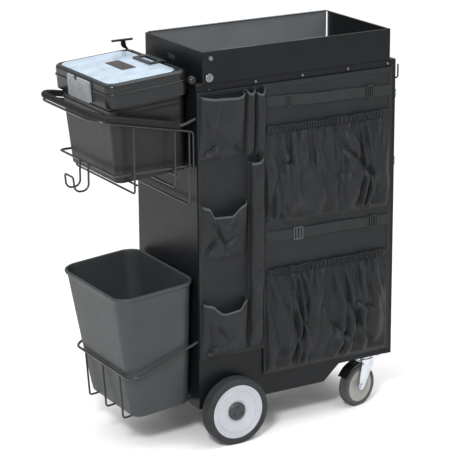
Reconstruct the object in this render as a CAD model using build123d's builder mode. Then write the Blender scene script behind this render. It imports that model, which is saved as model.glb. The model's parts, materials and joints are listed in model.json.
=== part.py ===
from build123d import *
import os
from math import cos, radians, sin, tan

# Housekeeping cart, in millimetres. +X runs along the cart from the handle end to the caster
# end, +Y from the organiser side to the open side, +Z up. The origin is on the floor, in the
# middle of the whole cart's footprint. Places are given by cart(x, y, z): x from the cabinet's
# handle end, y from its front face and z from the floor.

os.makedirs("parts", exist_ok=True)

# Cabinet
CABINET_LENGTH = 676
CABINET_DEPTH = 360
CABINET_TOP = 1083
CABINET_BOTTOM = 114
PAN_UNDERSIDE = 162
NOTCH_START = 432
NOTCH_END = 487
HANDLE_REACH = 325.5
END_HOOK_REACH = 16.5
SHEET = 1.5
FLANGE = 22
GAP = 0.3
SHELF_HEIGHTS = (470, 770)

# Top tray
TRAY_INSET = 21
TRAY_DEPTH = 336
TRAY_TOP = 1175
TRAY_LIP = 7
FLAP_HINGE_Y = 337.5
FLAP_HINGE_Z = 1092
FLAP_ENDS = (28.5, 647.5)
FLAP_TOP = 1178
KNUCKLE = 4.0
HINGE_PIN = 2.0
RUNNING_FIT = 0.05

# Drive wheels and casters
WHEEL_X = 103
WHEEL_RADIUS = 101.6
WHEEL_WIDTH = 42
WHEEL_STANDOFF = 8
WHEEL_RIM_RADIUS = 82
AXLE_RADIUS = 8
CASTER_X = 606
CASTER_Y = 46
CASTER_TRAIL = 30
CASTER_RADIUS = 63.5
CASTER_WIDTH = 34
CASTER_RIM_RADIUS = 50
CASTER_BOLT_RADIUS = 5
FRONT_CASTER_TURN = 14
REAR_CASTER_TURN = -10

# Wire work at the handle end
HANDLE_HALF_DEPTH = 188
HANDLE_SLOPE = 0.215
HANDLE_HEIGHT = 965
HANDLE_X = -316
ROD = 9
GRIP = 19
RIM_HEIGHT = 950
RIM_X = -320
RAIL_HEIGHT = 852
RAIL_X = -250
WIRE = 7
THIN_WIRE = 6
HOOPS = ((-195, 797), (-66, 797), (-20, 738))

# Toolbox and wastebasket, each in its own leaning frame
TOOLBOX_LEAN = 4
TOOLBOX_BOTTOM = (222, 306)
TOOLBOX_TOP = (238, 332)
TOOLBOX_WALL = 3
TOOLBOX_HEIGHT = 232
LID_LOW = 222
LID_TOP = 290
BASKET_LEAN = 5
BASKET_BOTTOM = (184, 300)
BASKET_TOP = (246, 378)
BASKET_HEIGHT = 388
BASKET_WALL = 2.5

LEFT = HANDLE_REACH - (CABINET_LENGTH + HANDLE_REACH + END_HOOK_REACH) / 2
FRONT = -CABINET_DEPTH / 2


def cart(x, y, z):
    """A point measured from the cabinet's handle end, its front face and the floor."""
    return (LEFT + x, FRONT + y, z)


def save(piece, label):
    """Label a finished piece and write it as the STEP file of the same name."""
    piece.part.label = label
    export_step(piece.part, f"parts/{label}.step")


def save_group(pieces, label):
    """Write several separate pieces as the solids of one node."""
    with BuildPart() as node:
        add([piece.part for piece in pieces])
    save(node, label)


def block(low, high, mode=Mode.ADD):
    """A box between two opposite corners, each given in cart places."""
    start, end = cart(*low), cart(*high)
    with Locations(tuple((a + b) / 2 for a, b in zip(start, end))):
        Box(*(abs(b - a) for a, b in zip(start, end)), mode=mode)


def facing_front(y):
    """A plane across the cart at depth y: its x is the cart's x, its y is height, and it
    extrudes towards the front."""
    return Plane(origin=cart(0, y, 0), x_dir=(1, 0, 0), z_dir=(0, -1, 0))


def facing_end(x):
    """A plane across the cart at x: its x is the cart's y, its y is height, and it
    extrudes towards the caster end."""
    return Plane(origin=cart(x, 0, 0), x_dir=(0, 1, 0), z_dir=(1, 0, 0))


def within(base, plane):
    """A standard plane carried into another plane's frame."""
    return Plane(base.location * plane.location)


def bent_rod(points, bend_radius, outside, bore=0):
    """Round rod or tube bent through cart places, with one bend radius or one for each corner."""
    with BuildPart() as rod:
        with BuildLine() as path:
            if len(points) == 2:
                Line(cart(*points[0]), cart(*points[1]))
            else:
                FilletPolyline(*[cart(*point) for point in points], radius=bend_radius)
        with BuildSketch(Plane(origin=path.line @ 0, z_dir=path.line % 0)):
            Circle(outside / 2)
            if bore:
                Circle(bore / 2, mode=Mode.SUBTRACT)
        sweep()
    return rod


# ---------------------------------------------------------------- cabinet


def end_panel(outer_x, inward, bottom):
    """Sheet end panel with its front, back and top edges turned in."""
    inner_x = outer_x + inward * SHEET
    lip_x = outer_x + inward * FLANGE
    with BuildPart() as panel:
        block((outer_x, 0, bottom), (inner_x, CABINET_DEPTH, CABINET_TOP))
        block((outer_x, 0, bottom), (lip_x, SHEET, CABINET_TOP))
        block((outer_x, CABINET_DEPTH - SHEET, bottom), (lip_x, CABINET_DEPTH, CABINET_TOP))
        block((outer_x, 0, CABINET_TOP - SHEET), (lip_x, CABINET_DEPTH, CABINET_TOP))
    return panel


def front_panel():
    """Front sheet, stepped up at the caster end to clear the casters."""
    inset = SHEET + GAP
    top = CABINET_TOP - SHEET - GAP
    with BuildPart() as panel:
        with BuildSketch(facing_front(2 * SHEET + GAP)):
            Polygon(
                (inset, CABINET_BOTTOM),
                (NOTCH_START, CABINET_BOTTOM),
                (NOTCH_END, PAN_UNDERSIDE),
                (CABINET_LENGTH - inset, PAN_UNDERSIDE),
                (CABINET_LENGTH - inset, top),
                (inset, top),
                align=None,
            )
        extrude(amount=SHEET)
    return panel


def inner_plate(underside, thickness, back_lip):
    """A plate between the end panels and behind the front sheet, with a lip turned down
    along its open back edge."""
    inset = SHEET + GAP
    front, back = 2 * SHEET + 2 * GAP, CABINET_DEPTH - SHEET - GAP
    with BuildPart() as plate:
        block(
            (inset, front, underside),
            (CABINET_LENGTH - inset, back, underside + thickness),
        )
        block(
            (FLANGE + GAP, back - thickness, underside - back_lip),
            (NOTCH_START, back, underside + thickness),
        )
    return plate


save(end_panel(0, 1, CABINET_BOTTOM), "left_end_panel")
save(end_panel(CABINET_LENGTH, -1, PAN_UNDERSIDE), "right_end_panel")
save(front_panel(), "front_panel")
save(inner_plate(PAN_UNDERSIDE, 2, 30), "base_pan")
save_group([inner_plate(height, SHEET, 18) for height in SHELF_HEIGHTS], "shelves")

# ---------------------------------------------------------------- top tray

DECK_TOP = CABINET_TOP + GAP + SHEET
TRAY_RIGHT = CABINET_LENGTH - TRAY_INSET


def tray_side(outer_x, inward):
    """Side of the top tray, with its top edge turned inwards."""
    with BuildPart() as side:
        block((outer_x, 0, CABINET_TOP + GAP), (outer_x + inward * SHEET, TRAY_DEPTH, TRAY_TOP))
        block(
            (outer_x, SHEET + GAP, TRAY_TOP - SHEET),
            (outer_x + inward * TRAY_LIP, TRAY_DEPTH, TRAY_TOP),
        )
    return side


with BuildPart() as tray_deck:
    block(
        (TRAY_INSET + SHEET + GAP, 2 * SHEET, CABINET_TOP + GAP),
        (TRAY_RIGHT - SHEET - GAP, TRAY_DEPTH - 3, DECK_TOP),
    )
    block(
        (FLAP_ENDS[0], TRAY_DEPTH - 3 - SHEET, DECK_TOP - 20),
        (FLAP_ENDS[1], TRAY_DEPTH - 3, DECK_TOP),
    )
save(tray_deck, "tray_deck")
save(tray_side(TRAY_INSET, 1), "tray_left_panel")
save(tray_side(TRAY_RIGHT, -1), "tray_right_panel")

LOCK_X, LOCK_Z = 42, 1101
LOCK_BARREL = 9
PLUG_RADIUS = 7

with BuildPart() as tray_front_panel:
    block(
        (TRAY_INSET + SHEET + GAP, 0, CABINET_TOP + GAP),
        (TRAY_RIGHT - SHEET - GAP, SHEET, TRAY_TOP),
    )
    block(
        (TRAY_INSET + TRAY_LIP + GAP, 0, TRAY_TOP - SHEET),
        (TRAY_RIGHT - TRAY_LIP - GAP, TRAY_LIP, TRAY_TOP),
    )
    with BuildSketch(facing_front(SHEET)):
        with Locations((LOCK_X, LOCK_Z)):
            Circle(LOCK_BARREL + GAP)
    extrude(amount=SHEET, mode=Mode.SUBTRACT)
save(tray_front_panel, "tray_front_panel")


def knuckle_spans(start, end, count):
    """Equal spans along the flap's hinge, with a small gap between neighbours."""
    pitch = (end - start) / count
    return [(start + i * pitch + GAP, start + (i + 1) * pitch - GAP) for i in range(count)]


SPANS = knuckle_spans(*FLAP_ENDS, 5)
HINGE_LINE = Plane(origin=cart(0, FLAP_HINGE_Y, FLAP_HINGE_Z), x_dir=(0, 1, 0), z_dir=(1, 0, 0))
LEAF_Y = FLAP_HINGE_Y - KNUCKLE + 0.5


def knuckle(span):
    """One rolled knuckle of the flap's hinge."""
    with BuildSketch(HINGE_LINE.offset(span[0])) as end:
        Circle(KNUCKLE)
    extrude(end.sketch, amount=span[1] - span[0])


with BuildPart() as flap_hinge:
    block(
        (FLAP_ENDS[0], LEAF_Y, DECK_TOP - 12),
        (FLAP_ENDS[1], LEAF_Y + SHEET, FLAP_HINGE_Z - KNUCKLE - 1),
    )
    for span in SPANS[0::2]:
        knuckle(span)
        block((span[0], LEAF_Y, DECK_TOP), (span[1], LEAF_Y + SHEET, FLAP_HINGE_Z - 1))
    with BuildSketch(HINGE_LINE.offset(SPANS[0][0])):
        Circle(HINGE_PIN)
    extrude(amount=SPANS[-1][1] - SPANS[0][0])
save(flap_hinge, "flap_hinge")

with BuildPart() as tray_back_flap:
    block(
        (FLAP_ENDS[0], LEAF_Y, FLAP_HINGE_Z + KNUCKLE + 1),
        (FLAP_ENDS[1], LEAF_Y + SHEET, FLAP_TOP),
    )
    block(
        (FLAP_ENDS[0], LEAF_Y - 5, FLAP_TOP - SHEET),
        (FLAP_ENDS[1], LEAF_Y + SHEET, FLAP_TOP),
    )
    for span in SPANS[1::2]:
        block((span[0], LEAF_Y, FLAP_HINGE_Z + 1), (span[1], LEAF_Y + SHEET, FLAP_TOP))
        knuckle(span)
    with BuildSketch(HINGE_LINE.offset(FLAP_ENDS[0])):
        Circle(HINGE_PIN + RUNNING_FIT)
    extrude(amount=FLAP_ENDS[1] - FLAP_ENDS[0], mode=Mode.SUBTRACT)
save(tray_back_flap, "tray_back_flap")

with BuildPart() as name_plate:
    block((TRAY_INSET - 1.2, 157, 1126), (TRAY_INSET - 0.1, 196, 1139))
save(name_plate, "name_plate")

with BuildPart() as cam_lock_body:
    with BuildSketch(facing_front(-0.1)):
        with Locations((LOCK_X, LOCK_Z)):
            Circle(12.5)
            Circle(PLUG_RADIUS + RUNNING_FIT, mode=Mode.SUBTRACT)
    extrude(amount=5)
    fillet(cam_lock_body.edges().group_by(Axis.Y)[0].sort_by(SortBy.RADIUS)[-1], 1.5)
    with BuildSketch(facing_front(18)):
        with Locations((LOCK_X, LOCK_Z)):
            Circle(LOCK_BARREL)
            Circle(PLUG_RADIUS + RUNNING_FIT, mode=Mode.SUBTRACT)
    extrude(amount=19)
save(cam_lock_body, "cam_lock_body")

with BuildPart() as cam_lock_plug:
    with BuildSketch(facing_front(20)):
        with Locations((LOCK_X, LOCK_Z)):
            Circle(PLUG_RADIUS)
    extrude(amount=26)
    with BuildSketch(facing_front(22)):
        with Locations((LOCK_X + 8, LOCK_Z)):
            RectangleRounded(28, 12, 5)
    extrude(amount=3)
    with BuildSketch(facing_front(-6)):
        with Locations((LOCK_X, LOCK_Z)):
            Rectangle(1.6, 8)
    extrude(amount=-3, mode=Mode.SUBTRACT)
save(cam_lock_plug, "cam_lock_plug")

SNAP_XS = (194, 351, 507, 647)
SNAPS = [(x, 1072, 4.5, 2.5) for x in SNAP_XS]
FASTENERS = SNAPS + [(48, 1155, 7.5, 4), (42, 1067, 2.5, 1.5)]

with BuildPart() as panel_fasteners:
    for x, z, radius, height in FASTENERS:
        with BuildSketch(facing_front(-0.1)):
            with Locations((x, z)):
                Circle(radius)
        extrude(amount=height, taper=25)
save(panel_fasteners, "panel_fasteners")

BALL = cart(-14, -1, 1101)
with BuildPart() as ball_knob:
    block((-4, -3, CABINET_TOP + GAP), (TRAY_INSET - GAP, 14, CABINET_TOP + 5))
    with Locations(BALL):
        Sphere(13)
    with BuildLine() as neck:
        Line(cart(3, 6, CABINET_TOP + 5.5), BALL)
    with BuildSketch(Plane(origin=neck.line @ 0, z_dir=neck.line % 0)):
        Circle(4)
    sweep()
save(ball_knob, "ball_knob")

ARM_Y = 372
ARM_ROD_Z = 1152

with BuildPart() as bag_arm:
    block((4, TRAY_DEPTH + 4, CABINET_TOP + GAP), (TRAY_INSET - GAP, ARM_Y + 3, CABINET_TOP + 4))
    with BuildSketch(facing_front(ARM_Y + 3)):
        Polygon(
            (-40, ARM_ROD_Z), (-40, 1137), (-34, 1129), (-25, 1125), (-8, CABINET_TOP + GAP),
            (TRAY_INSET - GAP, CABINET_TOP + GAP), (TRAY_INSET - GAP, CABINET_TOP + 8),
            (6, CABINET_TOP + 12), (-23, 1133), (-27, ARM_ROD_Z),
            align=None,
        )
    extrude(amount=3)
    with BuildSketch(facing_end(-70)):
        with Locations((ARM_Y + 1.5, ARM_ROD_Z)):
            Circle(3.5)
    extrude(amount=68)
save(bag_arm, "bag_arm")

# ---------------------------------------------------------------- caster end fittings

with BuildPart() as end_hook:
    add(bent_rod([(676.3, 8, 1024), (690, 8, 1024), (690, 8, 1064)], 7, 5).part)
save(end_hook, "end_hook")

RING_Y = 14
RING_HEIGHTS = {"upper_d_ring": 985, "lower_d_ring": 779}
RING_X = 680.5
RING_BAR = 3
RING_HALF = 11


def ring_tab(height):
    """Sewn tab on the end panel whose loop carries a ring."""
    with BuildPart() as tab:
        block((676.3, RING_Y - 7, height + 2), (678, RING_Y + 7, height + 28))
        with BuildSketch(facing_front(RING_Y + 7)):
            with Locations((RING_X, height)):
                Circle(4.2)
        extrude(amount=14)
        with BuildSketch(facing_front(RING_Y + 7)):
            with Locations((RING_X, height)):
                Circle(RING_BAR / 2 + 0.1)
        extrude(amount=14, mode=Mode.SUBTRACT)
    return tab


def d_ring(height):
    """D-shaped wire ring hanging from its tab."""
    low = height - 22
    with BuildPart() as ring:
        with BuildLine() as path:
            FilletPolyline(
                cart(RING_X, RING_Y - RING_HALF, height),
                cart(RING_X, RING_Y + RING_HALF, height),
                cart(RING_X, RING_Y + RING_HALF, low),
                cart(RING_X, RING_Y - RING_HALF, low),
                radius=[2.2, 2.2, 9, 9],
                close=True,
            )
        with BuildSketch(Plane(origin=path.line @ 0, z_dir=path.line % 0)):
            Circle(RING_BAR / 2)
        sweep()
    return ring


save_group([ring_tab(height) for height in RING_HEIGHTS.values()], "d_ring_tabs")
for label, height in RING_HEIGHTS.items():
    save(d_ring(height), label)

# ---------------------------------------------------------------- drive wheels


def ring_profile(plane, points):
    """Turn a closed outline of (radius, height) points about a plane's normal."""
    section = Plane(origin=plane.origin, x_dir=plane.x_dir, z_dir=-plane.y_dir)
    with BuildSketch(section) as profile:
        Polygon(*points, align=None)
    revolve(profile.sketch, axis=Axis(plane.origin, plane.z_dir))


def wheel_rim(plane, bore, hub, rim, width):
    """Dished wheel centre with a hub and a barrel that the tyre sits on."""
    half = width / 2
    with BuildPart() as wheel:
        ring_profile(
            plane,
            [
                (bore, -half + 2), (hub, -half + 2), (hub, 0), (rim - 10, half * 0.45),
                (rim - 4, half * 0.45), (rim - 4, -half + 2), (rim, -half + 2),
                (rim, half - 2), (rim - 4, half - 2), (rim - 7, half * 0.8),
                (rim - 12, half * 0.78), (hub, half * 0.4), (bore, half * 0.4),
            ],
        )
    return wheel


def tyre(plane, rim, outside, width):
    """Solid rubber tyre with rounded shoulders."""
    half = width / 2
    shoulder = (outside - rim) * 0.3
    with BuildPart() as rubber:
        ring_profile(
            plane,
            [
                (rim, -half + 2), (rim + 2, -half), (outside - shoulder, -half),
                (outside - shoulder * 0.3, -half + shoulder * 0.3), (outside, -half + shoulder),
                (outside, half - shoulder), (outside - shoulder * 0.3, half - shoulder * 0.3),
                (outside - shoulder, half), (rim + 2, half), (rim, half - 2),
            ],
        )
    return rubber


def hub_cap(plane, face):
    """Round cap over the axle's end, with three finger recesses."""
    with BuildPart() as cap:
        ring_profile(
            plane,
            [(0, face + 5.5), (12, face + 5.5), (12, face + 0.7), (22, face + 0.7),
             (27.5, face + 2), (27.5, face + 5), (24, face + 9), (0, face + 10)],
        )
        with BuildSketch(plane.offset(face + 10)):
            with PolarLocations(14, 3, start_angle=90):
                Circle(4)
        extrude(amount=-3, mode=Mode.SUBTRACT)
    return cap


WHEEL_MID = WHEEL_STANDOFF + WHEEL_WIDTH / 2
WHEEL_PLANES = {
    "front": Plane(cart(WHEEL_X, -WHEEL_MID, WHEEL_RADIUS), x_dir=(1, 0, 0), z_dir=(0, -1, 0)),
    "rear": Plane(
        cart(WHEEL_X, CABINET_DEPTH + WHEEL_MID, WHEEL_RADIUS), x_dir=(-1, 0, 0), z_dir=(0, 1, 0)
    ),
}
HUB_FACE = WHEEL_WIDTH * 0.2
for side, plane in WHEEL_PLANES.items():
    rim = wheel_rim(plane, AXLE_RADIUS + RUNNING_FIT, 22, WHEEL_RIM_RADIUS, WHEEL_WIDTH)
    save(rim, f"{side}_wheel_rim")
    save(tyre(plane, WHEEL_RIM_RADIUS, WHEEL_RADIUS, WHEEL_WIDTH), f"{side}_wheel_tyre")
    save(hub_cap(plane, HUB_FACE), f"{side}_hub_cap")

AXLE_END = WHEEL_MID + HUB_FACE + 4
BRACKET_YS = (16, CABINET_DEPTH - 20)

with BuildPart() as axle:
    with BuildSketch(facing_front(CABINET_DEPTH + AXLE_END)):
        with Locations((WHEEL_X, WHEEL_RADIUS)):
            Circle(AXLE_RADIUS)
    extrude(amount=CABINET_DEPTH + 2 * AXLE_END)
save(axle, "axle")


def axle_bracket(y):
    """Hanger plate under the base pan that carries the axle."""
    with BuildPart() as bracket:
        with BuildSketch(facing_front(y + 4)):
            Polygon(
                (WHEEL_X - 50, PAN_UNDERSIDE - GAP), (WHEEL_X - 18, WHEEL_RADIUS - 14),
                (WHEEL_X + 18, WHEEL_RADIUS - 14), (WHEEL_X + 50, PAN_UNDERSIDE - GAP),
                align=None,
            )
            with Locations((WHEEL_X, WHEEL_RADIUS)):
                Circle(AXLE_RADIUS + RUNNING_FIT, mode=Mode.SUBTRACT)
        extrude(amount=4)
        block(
            (WHEEL_X - 50, y, PAN_UNDERSIDE - GAP - 3),
            (WHEEL_X + 50, y + 24 * (1 if y < CABINET_DEPTH / 2 else -1), PAN_UNDERSIDE - GAP),
        )
    return bracket


save_group([axle_bracket(y) for y in BRACKET_YS], "axle_brackets")

# ---------------------------------------------------------------- swivel casters

PLATE_TOP = PAN_UNDERSIDE - GAP
PLATE_UNDERSIDE = PLATE_TOP - 4
RACE_UNDERSIDE = PLATE_UNDERSIDE - 11
CROWN_TOP = RACE_UNDERSIDE - 0.5
CROWN_THICK = 4
KINGPIN = 6
FORK_LEG_GAP = CASTER_WIDTH / 2 + 2
FORK_SHEET = 3
PLATE_SIZE = (92, 70)
BOLT_PITCH = (74, 52)
PEDAL_PIVOT = (-24, 134)
PEDAL_PIN = 3


def caster_frame(y, turn):
    """Frame of one caster: on the floor under its swivel, with -x along its trail."""
    angle = radians(turn)
    return Plane(cart(CASTER_X, y, 0), x_dir=(cos(angle), sin(angle), 0), z_dir=(0, 0, 1))


def caster_plate(y):
    """Fixed top plate with its ball race and kingpin."""
    square = Plane(cart(CASTER_X, y, 0))
    with BuildPart() as plate:
        with BuildSketch(square.offset(PLATE_UNDERSIDE)):
            RectangleRounded(*PLATE_SIZE, 6)
            with GridLocations(*BOLT_PITCH, 2, 2):
                Circle(4.3, mode=Mode.SUBTRACT)
        extrude(amount=4)
        with BuildSketch(square.offset(RACE_UNDERSIDE)):
            Circle(24)
        extrude(amount=11, taper=-8)
        with BuildSketch(square.offset(CROWN_TOP - CROWN_THICK - 5.5)):
            Circle(KINGPIN)
        extrude(amount=18)
        with BuildSketch(square.offset(CROWN_TOP - CROWN_THICK - 5.5)):
            RegularPolygon(10, 6)
        extrude(amount=5)
    return plate


def caster_bolts(y):
    """Hexagon bolts that hold a caster's plate to the base pan."""
    square = Plane(cart(CASTER_X, y, 0))
    with BuildPart() as bolts:
        with BuildSketch(square.offset(PLATE_UNDERSIDE - GAP - 5)):
            with GridLocations(*BOLT_PITCH, 2, 2):
                RegularPolygon(7, 6)
        extrude(amount=5)
        with BuildSketch(square.offset(PLATE_UNDERSIDE - GAP - 5)):
            with GridLocations(*BOLT_PITCH, 2, 2):
                Circle(4)
        extrude(amount=5 + GAP + 4)
    return bolts


def caster_fork(frame):
    """Pressed fork: a crown with two tapered legs down to the wheel's axle."""
    leg_outer = FORK_LEG_GAP + FORK_SHEET
    crown_low = CROWN_TOP - CROWN_THICK
    with BuildPart() as fork:
        with BuildSketch(frame.offset(crown_low)):
            Circle(28)
            with Locations((-8, 0)):
                Rectangle(44, 2 * leg_outer)
        extrude(amount=CROWN_THICK)
        for outer in (leg_outer, -FORK_LEG_GAP):
            with BuildSketch(within(frame, Plane.XZ).offset(outer)):
                Polygon(
                    (-26, crown_low), (26, crown_low), (22, crown_low - 16),
                    (-CASTER_TRAIL + 12, CASTER_RADIUS - 6), (-CASTER_TRAIL + 4, CASTER_RADIUS - 12),
                    (-CASTER_TRAIL - 4, CASTER_RADIUS - 12), (-CASTER_TRAIL - 11, CASTER_RADIUS - 3),
                    (-CASTER_TRAIL - 5, CASTER_RADIUS + 40),
                    align=None,
                )
            extrude(amount=-FORK_SHEET)
        with BuildSketch(frame.offset(crown_low)):
            Circle(KINGPIN + RUNNING_FIT)
        extrude(amount=CROWN_THICK, mode=Mode.SUBTRACT)
        holes = (((-CASTER_TRAIL, CASTER_RADIUS), CASTER_BOLT_RADIUS), (PEDAL_PIVOT, PEDAL_PIN))
        for place, radius in holes:
            with BuildSketch(within(frame, Plane.XZ).offset(leg_outer)):
                with Locations(place):
                    Circle(radius + RUNNING_FIT)
            extrude(amount=-2 * leg_outer, mode=Mode.SUBTRACT)
    return fork


def caster_axle(frame):
    """Wheel bolt with a head on one side of the fork and a nut on the other."""
    leg_outer = FORK_LEG_GAP + FORK_SHEET
    across = within(frame, Plane.XZ)
    with BuildPart() as bolt:
        for start, length, sides in ((-leg_outer - 5, 2 * leg_outer + 10, 0),
                                     (leg_outer + GAP, 4, 6), (-leg_outer - GAP - 4, 4, 6)):
            with BuildSketch(across.offset(start)):
                with Locations((-CASTER_TRAIL, CASTER_RADIUS)):
                    if sides:
                        RegularPolygon(8, sides)
                    else:
                        Circle(CASTER_BOLT_RADIUS)
            extrude(amount=length)
    return bolt


def brake_pedal(frame):
    """Curved pedal over the back of the tyre, hung on a pin across the fork."""
    across = within(frame, Plane.XZ)
    inner, outer = CASTER_RADIUS + 8, CASTER_RADIUS + 12
    half_width = FORK_LEG_GAP - 1
    pin_half = FORK_LEG_GAP + FORK_SHEET - 0.5
    pivot_x, pivot_z = PEDAL_PIVOT

    def around(radius, angle):
        turn = radians(angle)
        return (-CASTER_TRAIL + radius * cos(turn), CASTER_RADIUS + radius * sin(turn))

    with BuildPart() as pedal:
        with BuildSketch(across.offset(half_width)):
            with BuildLine():
                ThreePointArc(around(inner, 104), around(inner, 122), around(inner, 148))
                Line(around(inner, 148), around(outer + 3, 148))
                Line(around(outer + 3, 148), around(outer, 143))
                ThreePointArc(around(outer, 143), around(outer, 120), around(outer, 104))
                Line(around(outer, 104), around(inner, 104))
            make_face()
        extrude(amount=-2 * half_width)
        for start in (half_width, 3 - half_width):
            with BuildSketch(across.offset(start)):
                Polygon(
                    around(inner, 118), (-34, 130.5), (pivot_x + 4, pivot_z - 4.5),
                    (pivot_x + 7, pivot_z), (pivot_x + 4, pivot_z + 5.5),
                    (-40, 141), around(outer, 112),
                    align=None,
                )
            extrude(amount=-3)
        with BuildSketch(across.offset(pin_half)):
            with Locations(PEDAL_PIVOT):
                Circle(PEDAL_PIN)
        extrude(amount=-2 * pin_half)
    return pedal


CASTERS = {
    "front": (CASTER_Y, FRONT_CASTER_TURN),
    "rear": (CABINET_DEPTH - CASTER_Y, REAR_CASTER_TURN),
}
for side, (y, turn) in CASTERS.items():
    frame = caster_frame(y, turn)
    hub_plane = Plane(
        frame.from_local_coords((-CASTER_TRAIL, 0, CASTER_RADIUS)),
        x_dir=frame.x_dir,
        z_dir=-frame.y_dir,
    )
    bore = CASTER_BOLT_RADIUS + RUNNING_FIT
    rim = wheel_rim(hub_plane, bore, 16, CASTER_RIM_RADIUS, CASTER_WIDTH)
    save(caster_fork(frame), f"{side}_caster_fork")
    save(caster_axle(frame), f"{side}_caster_axle")
    save(rim, f"{side}_caster_rim")
    save(tyre(hub_plane, CASTER_RIM_RADIUS, CASTER_RADIUS, CASTER_WIDTH), f"{side}_caster_tyre")
    save(brake_pedal(frame), f"{side}_brake_pedal")
save_group([caster_plate(y) for y, _ in CASTERS.values()], "caster_plates")
save_group([caster_bolts(y) for y, _ in CASTERS.values()], "caster_bolts")

# ---------------------------------------------------------------- handle and wire basket

MIDDLE = 190
HANDLE_NEAR, HANDLE_FAR = MIDDLE - HANDLE_HALF_DEPTH, MIDDLE + HANDLE_HALF_DEPTH
RIM_NEAR, RIM_FAR = 5.7, 2 * MIDDLE - 5.7
RAIL_NEAR, RAIL_FAR = 13, 2 * MIDDLE - 13
GRIP_START = -58


def handle_z(x, height=HANDLE_HEIGHT):
    """Height of the handle or the basket's rim at x: both rise away from the cabinet."""
    return height - HANDLE_SLOPE * x


handle_rod = bent_rod(
    [
        (-1.8, HANDLE_NEAR, 988), (-45, HANDLE_NEAR, handle_z(-45)),
        (HANDLE_X, HANDLE_NEAR, handle_z(HANDLE_X)), (HANDLE_X, HANDLE_FAR, handle_z(HANDLE_X)),
        (-45, HANDLE_FAR, handle_z(-45)), (-1.8, HANDLE_FAR, 988),
    ],
    [40, 75, 75, 40],
    ROD,
)
save(handle_rod, "handle_rod")

handle_grip = bent_rod(
    [
        (GRIP_START, HANDLE_NEAR, handle_z(GRIP_START)), (HANDLE_X, HANDLE_NEAR, handle_z(HANDLE_X)),
        (HANDLE_X, HANDLE_FAR, handle_z(HANDLE_X)), (GRIP_START, HANDLE_FAR, handle_z(GRIP_START)),
    ],
    75,
    GRIP,
    ROD + 0.2,
)
save(handle_grip, "handle_grip")

basket_rim = bent_rod(
    [
        (-7, RIM_NEAR, 848), (-7, RIM_NEAR, handle_z(-7, RIM_HEIGHT)),
        (RIM_X, RIM_NEAR, handle_z(RIM_X, RIM_HEIGHT)), (RIM_X, RIM_FAR, handle_z(RIM_X, RIM_HEIGHT)),
        (-7, RIM_FAR, handle_z(-7, RIM_HEIGHT)), (-7, RIM_FAR, 848),
    ],
    [12, 74, 74, 12],
    WIRE,
)
save(basket_rim, "basket_rim")

basket_rail = bent_rod(
    [
        (-2, RAIL_NEAR, RAIL_HEIGHT), (RAIL_X, RAIL_NEAR, RAIL_HEIGHT),
        (RAIL_X, RAIL_FAR, RAIL_HEIGHT), (-2, RAIL_FAR, RAIL_HEIGHT),
    ],
    12,
    WIRE,
)
save(basket_rail, "basket_rail")

TOOLBOX_CENTRE = (-117, 192, 829.9)


def toolbox_bottom(x):
    """Height of the leaning toolbox's underside at x."""
    return TOOLBOX_CENTRE[2] + tan(radians(TOOLBOX_LEAN)) * (x - TOOLBOX_CENTRE[0])


basket_wires = []
for x, low in HOOPS:
    top = handle_z(x, RIM_HEIGHT) - (WIRE / 2 + GAP + 0.6)
    bends = [(x, RIM_NEAR, top), (x, RIM_NEAR, low), (x, RIM_FAR, low), (x, RIM_FAR, top)]
    basket_wires.append(bent_rod(bends, 10, THIN_WIRE))
for x, _ in HOOPS[:2]:
    beside = x + THIN_WIRE + GAP
    height = toolbox_bottom(beside) - THIN_WIRE / 2 - GAP
    ends = [(beside, y, height) for y in (RIM_NEAR - 3, RIM_FAR + 3)]
    basket_wires.append(bent_rod(ends, 0, THIN_WIRE))
save_group(basket_wires, "basket_wires")

HOOK_X = RAIL_X - WIRE / 2 - THIN_WIRE / 2 - GAP
HOOK_TIP_X = HOOK_X - 44
HOOK_YS = (170, 224)
hook_wire = bent_rod(
    [
        (HOOK_X, HOOK_YS[0], RAIL_HEIGHT + 3), (HOOK_X, HOOK_YS[0], 778), (HOOK_TIP_X, HOOK_YS[0], 778),
        (HOOK_TIP_X - 4, HOOK_YS[0], 822), (HOOK_TIP_X - 4, HOOK_YS[1], 822),
        (HOOK_TIP_X, HOOK_YS[1], 778), (HOOK_X, HOOK_YS[1], 778), (HOOK_X, HOOK_YS[1], RAIL_HEIGHT + 3),
    ],
    [20, 20, 8, 8, 20, 20],
    THIN_WIRE,
)
save(hook_wire, "hook_wire")

# ---------------------------------------------------------------- wastebasket and its holder

BASKET_CENTRE = (-100, 184, 118)
HOLDER_NEAR, HOLDER_FAR = 4, 364
HOLDER_X = -223
HOLDER_WIRE = 8
CRADLE_YS = (76, 184, 292)


def basket_bottom(x):
    """Height of the leaning wastebasket's underside at x."""
    return BASKET_CENTRE[2] + tan(radians(BASKET_LEAN)) * (x - BASKET_CENTRE[0])


holder_ring = bent_rod(
    [
        (-2, HOLDER_NEAR, 323), (-165, HOLDER_NEAR, 262), (HOLDER_X, HOLDER_NEAR, 246),
        (HOLDER_X, HOLDER_FAR, 246), (-165, HOLDER_FAR, 262), (-2, HOLDER_FAR, 323),
    ],
    [60, 32, 32, 60],
    HOLDER_WIRE,
)
leg_top = 246 - HOLDER_WIRE / 2 - GAP
cradle = [
    bent_rod(
        [
            (HOLDER_X + 1, y, leg_top), (-212, y, basket_bottom(-212) - 3.4),
            (-2, y, basket_bottom(-2) - 3.4),
        ],
        8,
        THIN_WIRE,
    )
    for y in CRADLE_YS
]
save_group([holder_ring] + cradle, "wastebasket_holder")


def leaning(centre, lean):
    """Frame of a box that leans out from the cabinet, with z up its middle."""
    angle = radians(lean)
    return Plane(cart(*centre), x_dir=(cos(angle), 0, sin(angle)), z_dir=(-sin(angle), 0, cos(angle)))


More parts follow.
